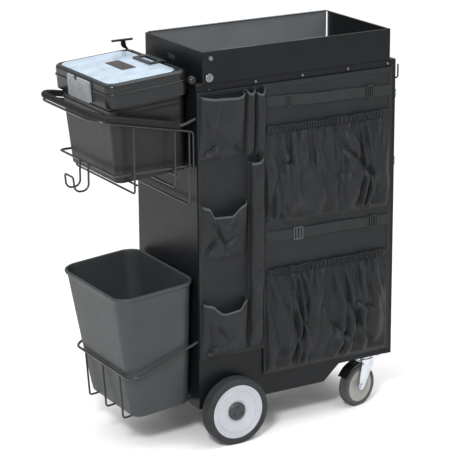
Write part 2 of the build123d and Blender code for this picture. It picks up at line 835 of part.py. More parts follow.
def tapered_tub(frame, bottom, top, height, corner, wall):
    """Open tub with flat tapered sides and round corners."""
    with BuildPart() as tub:
        for inset, floor, mode in ((0, 0, Mode.ADD), (wall, wall, Mode.SUBTRACT)):
            with BuildSketch(frame.offset(floor)):
                RectangleRounded(bottom[0] - 2 * inset, bottom[1] - 2 * inset, corner[0] - inset)
            with BuildSketch(frame.offset(height)):
                RectangleRounded(top[0] - 2 * inset, top[1] - 2 * inset, corner[1] - inset)
            loft(mode=mode)
    return tub


BASKET_FRAME = leaning(BASKET_CENTRE, BASKET_LEAN)
with BuildPart() as wastebasket:
    add(tapered_tub(BASKET_FRAME, BASKET_BOTTOM, BASKET_TOP, BASKET_HEIGHT, (32, 46), BASKET_WALL).part)
    with BuildSketch(BASKET_FRAME.offset(BASKET_HEIGHT - 8)):
        RectangleRounded(BASKET_TOP[0] + 8, BASKET_TOP[1] + 8, 50)
        RectangleRounded(BASKET_TOP[0] - 5, BASKET_TOP[1] - 5, 44, mode=Mode.SUBTRACT)
    extrude(amount=8)
save(wastebasket, "wastebasket")

# ---------------------------------------------------------------- toolbox

BOX = leaning(TOOLBOX_CENTRE, TOOLBOX_LEAN)
LID_SIZE = (253, 352)
LID_SHIFT = -2.5
LID_WALL = 3
LID_HINGE = (117.4, 238)
LID_HINGE_SPREAD = 96
LATCH_HINGE = (-134.5, 280)
HANDLE_HINGE = (117.1, 292.45)
HANDLE_BARREL = 2.25
LATCH_WIDTH = 132
LATCH_FACE = LID_SHIFT - LID_SIZE[0] / 2


with BuildPart() as toolbox_body:
    add(tapered_tub(BOX, TOOLBOX_BOTTOM, TOOLBOX_TOP, TOOLBOX_HEIGHT, (22, 26), TOOLBOX_WALL).part)
    with BuildSketch(BOX.offset(TOOLBOX_HEIGHT - 8)):
        with Locations((-3, 0)):
            RectangleRounded(TOOLBOX_TOP[0] + 2, TOOLBOX_TOP[1] + 8, 28)
            RectangleRounded(TOOLBOX_TOP[0] - 8, TOOLBOX_TOP[1] - 8, 24, mode=Mode.SUBTRACT)
    extrude(amount=4)
    for start in (-LID_HINGE_SPREAD - 9, LID_HINGE_SPREAD - 9):
        with BuildSketch(within(BOX, Plane.XZ).offset(-start)):
            with Locations(LID_HINGE):
                Circle(3.2)
            with Locations((LID_HINGE[0], LID_HINGE[1] - 6)):
                Rectangle(6.4, 12)
        extrude(amount=-18)
save(toolbox_body, "toolbox_body")

with BuildPart() as toolbox_lid:
    with BuildSketch(BOX.offset(LID_LOW)):
        with Locations((LID_SHIFT, 0)):
            RectangleRounded(*LID_SIZE, 28)
    extrude(amount=LID_TOP - LID_LOW)
    lid_top = toolbox_lid.faces().sort_by(Axis(BOX.origin, BOX.z_dir))[-1]
    fillet(lid_top.edges(), 9)
    with BuildSketch(BOX.offset(LID_LOW)):
        with Locations((LID_SHIFT - 1, 0)):
            RectangleRounded(LID_SIZE[0] - 2 * LID_WALL, LID_SIZE[1] - 2 * LID_WALL, 26)
    extrude(amount=TOOLBOX_HEIGHT + GAP - LID_LOW, mode=Mode.SUBTRACT)
    with BuildSketch(BOX.offset(TOOLBOX_HEIGHT)):
        with Locations((LID_SHIFT, 0)):
            RectangleRounded(LID_SIZE[0] - 16, LID_SIZE[1] - 16, 22)
    extrude(amount=LID_TOP - 5 - TOOLBOX_HEIGHT, mode=Mode.SUBTRACT)
    with BuildSketch(BOX.offset(LID_LOW - 1)):
        with Locations((LID_SIZE[0] / 2, 0)):
            Rectangle(30, LID_SIZE[1] + 2)
    extrude(amount=TOOLBOX_HEIGHT + 3 - LID_LOW, mode=Mode.SUBTRACT)
    with BuildSketch(BOX.offset(LID_TOP - 1.8)):
        with Locations((-7.5, 2)):
            RectangleRounded(229.6, 332.6, 14)
    extrude(amount=3, mode=Mode.SUBTRACT)
    for start in (-LID_HINGE_SPREAD - 10, LID_HINGE_SPREAD - 10):
        with BuildSketch(within(BOX, Plane.XZ).offset(-start)):
            with Locations((LID_HINGE[0] + 1, LID_HINGE[1] + 1)):
                Rectangle(15, 11)
        extrude(amount=-20, mode=Mode.SUBTRACT)
    with BuildSketch(within(BOX, Plane.XZ).offset(-3)):
        with Locations(LATCH_HINGE):
            Circle(3)
        with Locations((LATCH_HINGE[0] + 4.25, LATCH_HINGE[1])):
            Rectangle(8.5, 6)
    extrude(amount=-18)
    for start in (-58, 58):
        with BuildSketch(within(BOX, Plane.XZ).offset(-start)):
            with Locations(HANDLE_HINGE):
                Circle(HANDLE_BARREL)
            with Locations((HANDLE_HINGE[0], HANDLE_HINGE[1] - 3.25)):
                Rectangle(2 * HANDLE_BARREL, 6.5)
        extrude(amount=-6)
save(toolbox_lid, "toolbox_lid")

with BuildPart() as toolbox_window:
    with BuildSketch(BOX.offset(LID_TOP - 1.7)):
        with Locations((-7.5, 2)):
            RectangleRounded(229, 332, 13.7)
    extrude(amount=1.6)
save(toolbox_window, "toolbox_window")

with BuildPart() as toolbox_handle:
    with BuildSketch(BOX.offset(LID_TOP + 0.2)):
        with Locations((93, 3)):
            RectangleRounded(50, 108, 6)
            RectangleRounded(22, 78, 5, mode=Mode.SUBTRACT)
    extrude(amount=4.5)
    with BuildSketch(within(BOX, Plane.XZ).offset(51)):
        with Locations(HANDLE_HINGE):
            Circle(HANDLE_BARREL)
    extrude(amount=-108)
save(toolbox_handle, "toolbox_handle")

with BuildPart() as toolbox_latch:
    with BuildSketch(within(BOX, Plane.YZ).offset(LATCH_FACE - 9)):
        with Locations((-2, 252)):
            RectangleRounded(LATCH_WIDTH, 60, 4)
    extrude(amount=8)
    with BuildSketch(within(BOX, Plane.XZ).offset(66)):
        with Locations(LATCH_HINGE):
            Circle(4.4)
    extrude(amount=-128)
    with BuildSketch(within(BOX, Plane.YZ).offset(LATCH_FACE - 10.5)):
        with Locations((12, 280)):
            RectangleRounded(22, 14, 5)
    extrude(amount=10, mode=Mode.SUBTRACT)
    with BuildSketch(within(BOX, Plane.YZ).offset(LATCH_FACE - 11)):
        with GridLocations(15, 1, 8, 1):
            with Locations((-2, 246)):
                Rectangle(3, 44)
    extrude(amount=2.5)
save(toolbox_latch, "toolbox_latch")

# ---------------------------------------------------------------- fabric organiser

CLOTH = 3
CLOTH_BACK = -GAP
CLOTH_FACE = CLOTH_BACK - CLOTH
BINDING_X = 220
ORGANISER_RIGHT = 662
ORGANISER_TOP = 1062
POCKET_WALL = 2


def pocket(x_from, x_to, outline):
    """Open-topped pocket: a side outline of (y, z) points stretched across, then hollowed."""
    with BuildPart() as shell:
        with BuildSketch(facing_end(x_from)):
            Polygon(*outline, align=None)
        extrude(amount=x_to - x_from)
        mouth = shell.faces().sort_by(Axis.Z)[-1]
        offset(amount=-POCKET_WALL, openings=mouth)
    return shell


def flat_pocket(x_from, x_to, low, high, depth):
    """Pouch that stands out most near its mouth."""
    back = CLOTH_FACE - GAP
    belly = high - (high - low) * 0.35
    return pocket(
        x_from, x_to,
        [(back, low), (back - 10, low), (-depth, belly), (-depth + 4, high), (back, high)],
    )


def gathered_pocket(x_from, x_to, low, high, depth):
    """Pocket gathered on elastic at its mouth, with a belly that stands out lower down."""
    back = CLOTH_FACE - GAP
    tall = high - low
    return pocket(
        x_from, x_to,
        [(back, low), (back - 16, low), (-depth, low + tall * 0.2), (-depth + 2, low + tall * 0.45),
         (back - 16, high), (back, high)],
    )


with BuildPart() as organiser_panel:
    with BuildSketch(facing_front(CLOTH_BACK)):
        Polygon(
            (3, 264), (BINDING_X, 264), (BINDING_X, 176), (ORGANISER_RIGHT, 176),
            (ORGANISER_RIGHT, ORGANISER_TOP), (3, ORGANISER_TOP),
            align=None,
        )
    extrude(amount=CLOTH)
save(organiser_panel, "organiser_panel")

save_group(
    [flat_pocket(5, 154, low, high, 40) for low, high in ((860, 1046), (562, 712), (264, 424))],
    "pouch_pockets",
)
save_group(
    [
        flat_pocket(157, 186, 853, 1048, 32),
        flat_pocket(188, 218, 853, 1048, 32),
        flat_pocket(157, 212, 270, 842, 34),
    ],
    "tube_pockets",
)
save_group(
    [gathered_pocket(226, 650, low, high, 48) for low, high in ((636, 933), (190, 503))],
    "gathered_pockets",
)

BANDS = ((984, 1016), (586, 618))
with BuildPart() as webbing_bands:
    for low, high in BANDS:
        block((223, CLOTH_FACE - 0.2 - 1.6, low), (656, CLOTH_FACE - 0.2, high))
save(webbing_bands, "webbing_bands")

BUCKLES = ((300, 0, 15, 38), (578, 0, 22, 36), (334, 1, 28, 36), (600, 1, 24, 38))
with BuildPart() as band_buckles:
    for x, band, width, height in BUCKLES:
        with BuildSketch(facing_front(CLOTH_FACE - 2.1)):
            with Locations((x, sum(BANDS[band]) / 2)):
                RectangleRounded(width, height, 3)
        extrude(amount=4)
save(band_buckles, "band_buckles")
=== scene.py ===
"""A housekeeping cart: finishes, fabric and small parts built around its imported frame."""

import json
import logging
import math
from dataclasses import dataclass, field
from enum import Enum
from typing import Sequence

import bpy
import numpy as np
from mathutils import Matrix, Vector


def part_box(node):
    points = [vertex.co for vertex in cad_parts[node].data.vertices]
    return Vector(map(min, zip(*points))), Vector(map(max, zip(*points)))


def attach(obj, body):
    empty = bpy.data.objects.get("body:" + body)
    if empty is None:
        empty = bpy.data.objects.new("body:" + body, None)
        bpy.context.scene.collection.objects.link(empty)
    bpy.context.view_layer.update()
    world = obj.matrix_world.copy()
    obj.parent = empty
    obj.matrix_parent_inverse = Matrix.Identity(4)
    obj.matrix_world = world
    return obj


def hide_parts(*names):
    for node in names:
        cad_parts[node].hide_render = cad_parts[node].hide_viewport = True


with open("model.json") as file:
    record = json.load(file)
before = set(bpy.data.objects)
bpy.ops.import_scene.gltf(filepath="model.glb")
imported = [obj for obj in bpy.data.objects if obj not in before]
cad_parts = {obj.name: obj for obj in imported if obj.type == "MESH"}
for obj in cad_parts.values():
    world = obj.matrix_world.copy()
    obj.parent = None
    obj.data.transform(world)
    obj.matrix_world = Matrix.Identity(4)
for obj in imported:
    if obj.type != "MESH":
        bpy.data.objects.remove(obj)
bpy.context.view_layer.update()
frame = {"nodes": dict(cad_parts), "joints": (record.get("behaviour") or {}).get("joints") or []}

LOG = logging.getLogger("cart")
MM = 0.001
CLOTH_SEED = 20
GLOSS_SPREAD = 0.07


# -------- places


@dataclass(frozen=True)
class CartFrame:
    """Places measured in millimetres from the cabinet's handle end, front face and floor."""

    corner: Vector

    def at(self, x: float, y: float, z: float) -> Vector:
        """A place on the cart, in metres in the row frame."""
        return Vector((self.corner.x + x * MM, self.corner.y + y * MM, z * MM))

    def grid(self, x: np.ndarray, y: np.ndarray, z: np.ndarray) -> np.ndarray:
        """The same for whole arrays, as one array whose last side holds x, y and z."""
        return np.stack([self.corner.x + x * MM, self.corner.y + y * MM, z * MM], axis=-1)

    def shown(self, cloth: np.ndarray) -> np.ndarray:
        """Turns an array of places in cart millimetres into the row frame."""
        return self.grid(cloth[..., 0], cloth[..., 1], cloth[..., 2])


@dataclass(frozen=True)
class LeaningFrame:
    """A box's own frame: u across the cart's length, v along its depth, w up the leaning middle."""

    origin: Vector
    u_axis: Vector
    w_axis: Vector

    @staticmethod
    def from_joint(joint: str, origin: Vector) -> "LeaningFrame":
        """Makes the frame from a lifting joint's axis.

        Args:
            joint: name of the slide joint whose axis the box leans along.
            origin: middle of the box's underside.

        Returns:
            The leaning frame.
        """
        axis = next(Vector(j["axis"]) for j in frame["joints"] if j["name"] == joint)
        w_axis = axis.normalized()
        return LeaningFrame(origin, Vector((0, 1, 0)).cross(w_axis), w_axis)

    def at(self, u: float, v: float, w: float) -> Vector:
        """A place in the box's frame, given in millimetres."""
        across = self.u_axis * u + Vector((0, 1, 0)) * v + self.w_axis * w
        return self.origin + across * MM


CART = CartFrame(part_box("left_end_panel")[0])
TOOLBOX_FRAME = LeaningFrame.from_joint("toolbox_lift", CART.at(-117, 192, 829.9))
BIN_FRAME = LeaningFrame.from_joint("wastebasket_lift", CART.at(-100, 184, 118))


# -------- finishes


def linear(colour: str) -> tuple[float, float, float, float]:
    """Turns an sRGB hex colour into linear values.

    Args:
        colour: text such as "#8090a0".

    Returns:
        Linear red, green, blue and an alpha of 1.
    """
    parts = [int(colour[i : i + 2], 16) / 255 for i in (1, 3, 5)]
    made = [c / 12.92 if c <= 0.04045 else ((c + 0.055) / 1.055) ** 2.4 for c in parts]
    return (made[0], made[1], made[2], 1.0)


def add(
    tree: bpy.types.NodeTree,
    kind: str,
    settings: dict[str | int, object] | None = None,
    links: dict[str | int, bpy.types.NodeSocket] | None = None,
) -> bpy.types.Node:
    """Adds one node with its settings and links.

    Args:
        tree: node tree that it goes into.
        kind: the node's type name.
        settings: values for its sockets or properties, by name or socket number.
        links: output sockets that feed its inputs, by name or socket number.

    Returns:
        The new node.
    """
    node = tree.nodes.new(kind)
    for key, value in (settings or {}).items():
        if isinstance(key, int) or key in node.inputs:
            node.inputs[key].default_value = value
        else:
            setattr(node, key, value)
    for key, socket in (links or {}).items():
        tree.links.new(socket, node.inputs[key])
    return node


def lumps(size_mm: float, detail: float) -> dict[str, float]:
    """Settings for noise whose lumps are about size_mm across."""
    return {"Scale": 1 / (size_mm * MM), "Detail": detail, "Roughness": 0.55}


class Relief(Enum):
    """Kinds of fine surface relief."""

    GRAINY = "grainy"
    WOVEN = "woven"
    TWILL = "twill"
    BRUSHED = "brushed"
    PORES = "pores"


@dataclass(frozen=True)
class Finish:
    """One real finish: what it is, how its surface was made, and what the eye sees of it.

    Names that end in _mm are sizes in real millimetres.
    """

    name: str
    colour: str
    roughness: float
    relief: Relief = Relief.GRAINY
    relief_mm: float = 1.5
    depth_mm: float = 0.05
    mottle: float = 0.12
    mottle_mm: float = 90.0
    metallic: float = 0.0
    specular: float = 0.5
    sheen: float = 0.0
    coat: float = 0.0

    def material(self) -> bpy.types.Material:
        """The finish's material, made once.

        Returns:
            The material, with a colour, gloss and relief that all vary a little.
        """
        found = bpy.data.materials.get(self.name)
        if found is not None:
            return found
        made = bpy.data.materials.new(self.name)
        made.use_nodes = True
        tree = made.node_tree
        tree.nodes.clear()
        settings = {"Roughness": self.roughness, "Metallic": self.metallic}
        if not self.metallic:
            settings["Specular IOR Level"] = self.specular
        if self.sheen:
            settings |= {"Sheen Weight": self.sheen, "Sheen Roughness": 0.5}
        if self.coat:
            settings |= {"Coat Weight": self.coat, "Coat Roughness": 0.12}
        shader = add(tree, "ShaderNodeBsdfPrincipled", settings)
        add(tree, "ShaderNodeOutputMaterial", links={"Surface": shader.outputs["BSDF"]})
        place = add(tree, "ShaderNodeTexCoord").outputs["Object"]
        # The colour, a little lighter and darker in soft patches.
        patches = add(tree, "ShaderNodeTexNoise", lumps(self.mottle_mm, 4), {"Vector": place})
        ramp = add(tree, "ShaderNodeValToRGB", links={"Fac": patches.outputs["Fac"]})
        base = linear(self.colour)
        for stop, share, at in zip(ramp.color_ramp.elements, (-1, 1), (0.32, 0.68)):
            stop.position = at
            stop.color = [min(1, c * (1 + share * self.mottle)) for c in base[:3]] + [1]
        tree.links.new(ramp.outputs["Color"], shader.inputs["Base Color"])
        # Roughness that varies a little, as handling and moulding leave it.
        smears = lumps(self.mottle_mm * 0.4, 3)
        patches = add(tree, "ShaderNodeTexNoise", smears, {"Vector": place})
        settings = {
            "To Min": max(0.05, self.roughness - GLOSS_SPREAD),
            "To Max": self.roughness + GLOSS_SPREAD,
        }
        spread = add(tree, "ShaderNodeMapRange", settings, {"Value": patches.outputs["Fac"]})
        tree.links.new(spread.outputs["Result"], shader.inputs["Roughness"])
        settings = {"Strength": 0.7, "Distance": self.depth_mm * MM}
        bump = add(tree, "ShaderNodeBump", settings, {"Height": self._height(tree, place)})
        tree.links.new(bump.outputs["Normal"], shader.inputs["Normal"])
        return made

    def _wave(
        self, tree: bpy.types.NodeTree, place: bpy.types.NodeSocket, direction: Sequence[float]
    ) -> bpy.types.NodeSocket:
        """A sine along a direction, one whole wave each two threads.

        Args:
            tree: the material's nodes.
            place: the piece's own coordinates.
            direction: the way that the wave runs.

        Returns:
            The socket that gives the wave's height.
        """
        turn = math.tau / (2 * self.relief_mm * MM)
        settings = {"operation": "DOT_PRODUCT", 1: [turn * c for c in direction]}
        along = add(tree, "ShaderNodeVectorMath", settings, {0: place})
        wave = add(
            tree, "ShaderNodeMath", {"operation": "SINE"}, {0: along.outputs["Value"]}
        )
        return wave.outputs["Value"]

    def _height(
        self, tree: bpy.types.NodeTree, place: bpy.types.NodeSocket
    ) -> bpy.types.NodeSocket:
        """The relief's height, from real spacing in millimetres.

        Args:
            tree: the material's nodes.
            place: the piece's own coordinates.

        Returns:
            The socket that gives the height.
        """
        if self.relief is Relief.WOVEN:
            threads = [self._wave(tree, place, way) for way in ((1, 1, 0), (0, 0.3, 1))]
            crossed = add(
                tree, "ShaderNodeMath", {"operation": "MULTIPLY"}, dict(enumerate(threads))
            )
            return crossed.outputs["Value"]
        if self.relief is Relief.TWILL:
            return self._wave(tree, place, (0.7, 0.7, 0.9))
        if self.relief is Relief.PORES:
            settings = {"Scale": 1 / (self.relief_mm * MM), "Randomness": 0.9}
            cells = add(tree, "ShaderNodeTexVoronoi", settings, {"Vector": place})
            return cells.outputs["Distance"]
        if self.relief is Relief.BRUSHED:
            squeezed = add(tree, "ShaderNodeMapping", {"Scale": (1, 0.06, 1)}, {"Vector": place})
            place = squeezed.outputs["Vector"]
        grain = add(tree, "ShaderNodeTexNoise", lumps(self.relief_mm, 3), {"Vector": place})
        return grain.outputs["Fac"]


# Powder-coated steel: near black, satin, a very fine orange peel (1 mm, drawn at 2.5 mm to show).
POWDER_COAT = Finish(
    "powder_coated_steel", "#0f1113", 0.36, relief_mm=2.5, mottle=0.1, specular=0.2
)
# The same coat on the shelves: duller where goods slide over it, its peel coarsened alike.
WORN_COAT = Finish("worn_powder_coat", "#17191b", 0.5, relief_mm=2.5, mottle=0.22, specular=0.3)
# The folding flap's coat: the same black powder coat, a little smoother, its colour painted light
# grey as a painted reflection of the bright light it catches facing up and forward.
PAINTED_SHEEN_COAT = Finish(
    "flap_coat_painted_sheen", "#5f6366", 0.3, relief_mm=3, depth_mm=0.03, mottle=0.06
)
# Black oxide on small steel fittings: dark, slightly oily.
BLACK_OXIDE = Finish(
    "black_oxide_steel", "#0e0f10", 0.38, relief_mm=1.2, depth_mm=0.03, specular=0.4
)
# Epoxy-dipped wire: a thick soft coat that rounds every edge and shines a little.
DIPPED_WIRE = Finish(
    "epoxy_dipped_wire", "#17191b", 0.3, relief_mm=3, depth_mm=0.04, coat=0.25, specular=0.4
)
# Bright zinc plate on pressed steel: pale, faintly bluish, softly brushed.
ZINC_PLATE = Finish(
    "bright_zinc_plate", "#c9cdd3", 0.3, Relief.BRUSHED, 1.2, 0.03, 0.1, 30, metallic=1.0
)
# Satin nickel on the lock: soft grey with fine handling marks.
NICKEL = Finish("satin_nickel", "#85888b", 0.3, depth_mm=0.01, mottle=0.05, metallic=1.0)
# Bare steel of the snaps, screws and wire slide: mid grey, rubbed to a soft shine.
BURNISHED_STEEL = Finish(
    "burnished_steel", "#7d8083", 0.36, relief_mm=1.2, depth_mm=0.02, metallic=1.0
)
# Moulded polypropylene of the wheel centres: pale grey, even and slightly waxy.
WHEEL_POLYPROPYLENE = Finish(
    "moulded_wheel_polypropylene", "#a9abb1", 0.38, relief_mm=2, depth_mm=0.03, mottle=0.05
)
# Moulded polypropylene of the caster centres: warmer and a little darker.
CASTER_POLYPROPYLENE = Finish(
    "moulded_caster_polypropylene", "#8f8f8a", 0.42, relief_mm=2, depth_mm=0.03, mottle=0.08
)
# Moulded hub caps and blank plate: dark grey, dull, with a moulded grain.
HUB_ABS = Finish("moulded_hub_abs", "#2f3234", 0.45, relief_mm=1.6, specular=0.35)
# Solid rubber tyres: matt charcoal that dust turns greyer in patches.
TYRE_RUBBER = Finish(
    "solid_tyre_rubber", "#2a2c2e", 0.72, relief_mm=1.8, depth_mm=0.12, mottle=0.16, mottle_mm=40,
    specular=0.25,
)
# Caster tyres: the same matt rubber in a mid grey, scuffed paler in small patches.
CASTER_RUBBER = Finish(
    "caster_tyre_rubber", "#454646", 0.68, relief_mm=1.8, depth_mm=0.1, mottle=0.16, mottle_mm=30,
    specular=0.25,
)
# Closed-cell foam grip: soft, matt, with small pores (0.8 mm, drawn at 1.6 mm).
GRIP_FOAM = Finish(
    "closed_cell_foam", "#101112", 0.68, Relief.PORES, 1.6, 0.12, 0.15, 25, specular=0.25
)
# Moulded polyethylene wastebasket: textured, slightly waxy charcoal.
BIN_POLYETHYLENE = Finish(
    "moulded_polyethylene", "#303335", 0.46, relief_mm=1.8, depth_mm=0.08, mottle=0.08,
    specular=0.35,
)
# Toolbox body: black polypropylene, dulled by a spark-eroded grain.
BOX_POLYPROPYLENE = Finish(
    "moulded_box_polypropylene", "#0d0e0f", 0.42, relief_mm=1.6, depth_mm=0.09, mottle=0.1,
    specular=0.35,
)
# Toolbox lid: the same grain, worn glossier by hands.
LID_POLYPROPYLENE = Finish(
    "moulded_lid_polypropylene", "#141618", 0.27, relief_mm=1.6, depth_mm=0.09, mottle=0.1,
    specular=0.4,
)
# Toolbox latch: plain mid grey, low in shine.
LATCH_POLYPROPYLENE = Finish(
    "moulded_latch_polypropylene", "#7d8183", 0.45, relief_mm=1.6, depth_mm=0.06
)
# Clear styrene cover over a pale tray: glossy, cold white, cloudy in broad patches.
COVER_STYRENE = Finish(
    "clear_cover_styrene", "#aabccd", 0.16, relief_mm=30, depth_mm=0.3, mottle=0.2, mottle_mm=70,
    coat=0.6,
)
# Plain printed card under the cover: dark brown, uneven in small patches.
CARD = Finish("printed_card", "#2f2a27", 0.5, relief_mm=2, depth_mm=0.02, mottle=0.75, mottle_mm=14)
# Moulded acetal of the slides, handle and ring tabs: black with a faint sheen.
BLACK_ACETAL = Finish("moulded_acetal", "#111314", 0.35, relief_mm=1.2, depth_mm=0.03)
# Coated polyester cloth: plain weave of 0.5 mm threads, drawn at 1.3 mm, with a dry sheen.
POLYESTER = Finish(
    "woven_polyester", "#181a1c", 0.5, Relief.WOVEN, 1.3, 0.16, 0.16, 55, sheen=0.05, specular=0.22
)
# Binding tape: a close twill (0.5 mm, drawn at 1.5 mm), its colour painted paler than the cloth as
# a painted highlight for the light on its rolled edge where it turns over a pocket's edge.
BINDING_PAINTED_HIGHLIGHT = Finish(
    "woven_binding_painted_highlight", "#3b3f41", 0.62, Relief.TWILL, 1.5, 0.15, 0.1, 30, sheen=0.12, specular=0.3
)
# Webbing: a coarse twill (1 mm, drawn at 2 mm), dull and dark.
WEBBING = Finish(
    "woven_webbing", "#1f2223", 0.66, Relief.TWILL, 2.0, 0.3, 0.12, 30, sheen=0.05, specular=0.25
)
# Turned hems of the backing: the cloth's own colour, its weave drawn as a twill at 1.5 mm.
HEM = Finish(
    "turned_hem", "#181a1c", 0.5, Relief.TWILL, 1.5, 0.15, 0.12, 40, sheen=0.05, specular=0.24
)


# -------- making pieces


def dress(piece: bpy.types.Object, finish: Finish) -> None:
    """Puts a finish on every material slot of a piece."""
    if not piece.material_slots:
        piece.data.materials.append(finish.material())
    for slot in piece.material_slots:
        slot.material = finish.material()


def new_piece(
    name: str, data: bpy.types.ID, finish: Finish, body: str
) -> bpy.types.Object:
    """Makes an object of some data, dressed and riding on a body.

    Args:
        name: the piece's name.
        data: its mesh or curve.
        finish: its finish.
        body: CAD body that it moves with.

    Returns:
        The new object.
    """
    piece = bpy.data.objects.new(name, data)
    bpy.context.scene.collection.objects.link(piece)
    dress(piece, finish)
    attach(piece, body)
    LOG.info("made %s", name)
    return piece


@dataclass(frozen=True)
class Place:
    """Which body a piece rides on, and the record's slot for its finish."""

    body: str
    slot: str
    finish: Finish


def mesh_piece(
    name: str, points: Sequence[Sequence[float]], faces: Sequence[Sequence[int]], place: Place
) -> bpy.types.Object:
    """Makes a smooth-shaded mesh piece.

    Args:
        name: the piece's name.
        points: its vertices, in metres.
        faces: its faces, as vertex numbers.
        place: body, slot and finish.

    Returns:
        The new object.
    """
    mesh = bpy.data.meshes.new(name)
    mesh.from_pydata([tuple(p) for p in points], [], [tuple(f) for f in faces])
    mesh.validate()
    mesh.shade_smooth()
    return new_piece(name, mesh, place.finish, place.body)


def grid_piece(
    name: str,
    grid: np.ndarray,
    thickness_mm: float,
    place: Place,
    keep: np.ndarray | None = None,
) -> bpy.types.Object:
    """Makes a sheet from a grid of places, thickened to both sides.

    Args:
        name: the piece's name.
        grid: rows of places, in metres.
        thickness_mm: the sheet's thickness.
        place: body, slot and finish.
        keep: which cells are cloth, or None for all.

    Returns:
        The new object.
    """
    rows, columns = grid.shape[:2]
    faces = []
    for j in range(rows - 1):
        for i in range(columns - 1):
            if keep is None or keep[j, i]:
                low, high = j * columns + i, (j + 1) * columns + i
                faces.append((low, low + 1, high + 1, high))
    used = sorted({v for f in faces for v in f})
    renumber = {v: n for n, v in enumerate(used)}
    points = grid.reshape(-1, 3)[used]
    piece = mesh_piece(name, points, [[renumber[v] for v in f] for f in faces], place)
    solid = piece.modifiers.new("thickness", "SOLIDIFY")
    solid.thickness = thickness_mm * MM
    solid.offset = 0
    return piece


def rod_piece(
    name: str,
    routes: Sequence[Sequence[Vector]],
    radius_mm: float,
    place: Place,
    closed: bool = False,
) -> bpy.types.Object:
    """Makes round rods along straight-sided or finely pointed routes, as one curve piece.

    Args:
        name: the piece's name.
        routes: each rod's places, in metres.
        radius_mm: the rods' radius.
        place: body, slot and finish.
        closed: whether each rod runs round into its start.

    Returns:
        The new object.
    """
    curve = bpy.data.curves.new(name, "CURVE")
    curve.dimensions = "3D"
    curve.bevel_depth = radius_mm * MM
    curve.bevel_resolution = 4
    curve.use_fill_caps = True
    for route in routes:
        line = curve.splines.new("POLY")
        line.points.add(len(route) - 1)
        for point, where in zip(line.points, route):
            point.co = (*where, 1)
        line.use_cyclic_u = closed
        line.use_smooth = True
    return new_piece(name, curve, place.finish, place.body)


def slab_piece(
    name: str, outline: Sequence[Vector], push: Vector, bevel_mm: float, place: Place
) -> bpy.types.Object:
    """Makes a flat plate with softened edges.

    Args:
        name: the piece's name.
        outline: places round one face, in metres.
        push: the way to the other face, in metres.
        bevel_mm: width of the softened edges.
        place: body, slot and finish.

    Returns:
        The new object.
    """
    count = len(outline)
    points = [*outline, *(p + push for p in outline)]
    sides = [(i, (i + 1) % count, count + (i + 1) % count, count + i) for i in range(count)]
    faces = [tuple(reversed(range(count))), tuple(range(count, 2 * count)), *sides]
    piece = mesh_piece(name, points, faces, place)
    soften = piece.modifiers.new("edges", "BEVEL")
    soften.width = bevel_mm * MM
    soften.segments = 2
    soften.harden_normals = True
    return piece


def rounded(
    width: float, height: float, corner: float, steps: int = 6
) -> list[tuple[float, float]]:
    """The outline of a rounded rectangle about the origin, anticlockwise.

    Args:
        width: its size along the first axis.
        height: its size along the second axis.
        corner: its corners' radius.
        steps: how many straight parts each corner has.

    Returns:
        Places round the outline, in the sizes' own unit.
    """
    made = []
    for k, (sx, sy) in enumerate(((1, -1), (1, 1), (-1, 1), (-1, -1))):
        for step in range(steps + 1):
            turn = math.radians(-90 + 90 * k + 90 * step / steps)
            across = sx * (width / 2 - corner) + corner * math.cos(turn)
            along = sy * (height / 2 - corner) + corner * math.sin(turn)
            made.append((across, along))
    return made


# -------- cloth shapes


def smooth(t: np.ndarray) -> np.ndarray:
    """A soft step from 0 to 1."""
    t = np.clip(t, 0, 1)
    return t * t * (3 - 2 * t)


def bell(away: np.ndarray) -> np.ndarray:
    """A soft hump of height 1 that dies out over a few units either way."""
    return np.exp(-(away**2))


def crumple(x: np.ndarray, z: np.ndarray, size: float, seed: int) -> np.ndarray:
    """Soft seeded unevenness.

    Args:
        x: places along the cart, in millimetres.
        z: heights, in millimetres.
        size: the lumps' size, in millimetres.
        seed: which unevenness.

    Returns:
        Values from -1 to 1.
    """
    count, start = 97, 40
    lattice = np.random.default_rng(CLOTH_SEED + seed).uniform(-1, 1, (count, count))
    a, b = x / size + start, z / size + start
    i, j = np.floor(a).astype(int), np.floor(b).astype(int)
    p, q = smooth(a - i), smooth(b - j)
    i, j, right, up = i % count, j % count, (i + 1) % count, (j + 1) % count
    low = lattice[i, j] * (1 - p) + lattice[right, j] * p
    high = lattice[i, up] * (1 - p) + lattice[right, up] * p
    return low * (1 - q) + high * q


@dataclass(frozen=True)
class Crease:
    """A fold line: a valley with a ridge beside it, fading out at its ends."""

    line: tuple[tuple[float, float], ...]
    depth: float
    width: float
    ridge: float = 0.7

    def push(self, x: np.ndarray, z: np.ndarray) -> np.ndarray:
        """How far the fold moves the cloth outwards at each place.

        Args:
            x: places along the cart, in millimetres.
            z: heights, in millimetres.

        Returns:
            Millimetres outwards, negative in the valley.
        """
        nearest = np.full(x.shape, np.inf)
        side = np.zeros(x.shape)
        share = np.zeros(x.shape)
        spans = list(zip(self.line, self.line[1:]))
        lengths = [math.dist(a, b) for a, b in spans]
        done = 0.0
        for (a, b), length in zip(spans, lengths):
            dx, dz = (b[0] - a[0]) / length, (b[1] - a[1]) / length
            along = np.clip((x - a[0]) * dx + (z - a[1]) * dz, 0, length)
            off_x, off_z = x - a[0] - along * dx, z - a[1] - along * dz
            far = np.hypot(off_x, off_z)
            closer = far < nearest
            nearest = np.where(closer, far, nearest)
            side = np.where(closer, off_x * dz - off_z * dx, side)
            share = np.where(closer, (done + along) / sum(lengths), share)
            done += length
        away = nearest * np.sign(side)
        fade = np.sin(np.pi * np.clip(share, 0.02, 0.98)) ** 0.6
        valley = np.exp(-(np.abs(away / (1.2 * self.width)) ** 1.4))
        shoulder = bell((away - 2.1 * self.width) / (1.7 * self.width))
        return self.depth * fade * (1.2 * self.ridge * shoulder - 1.7 * valley)


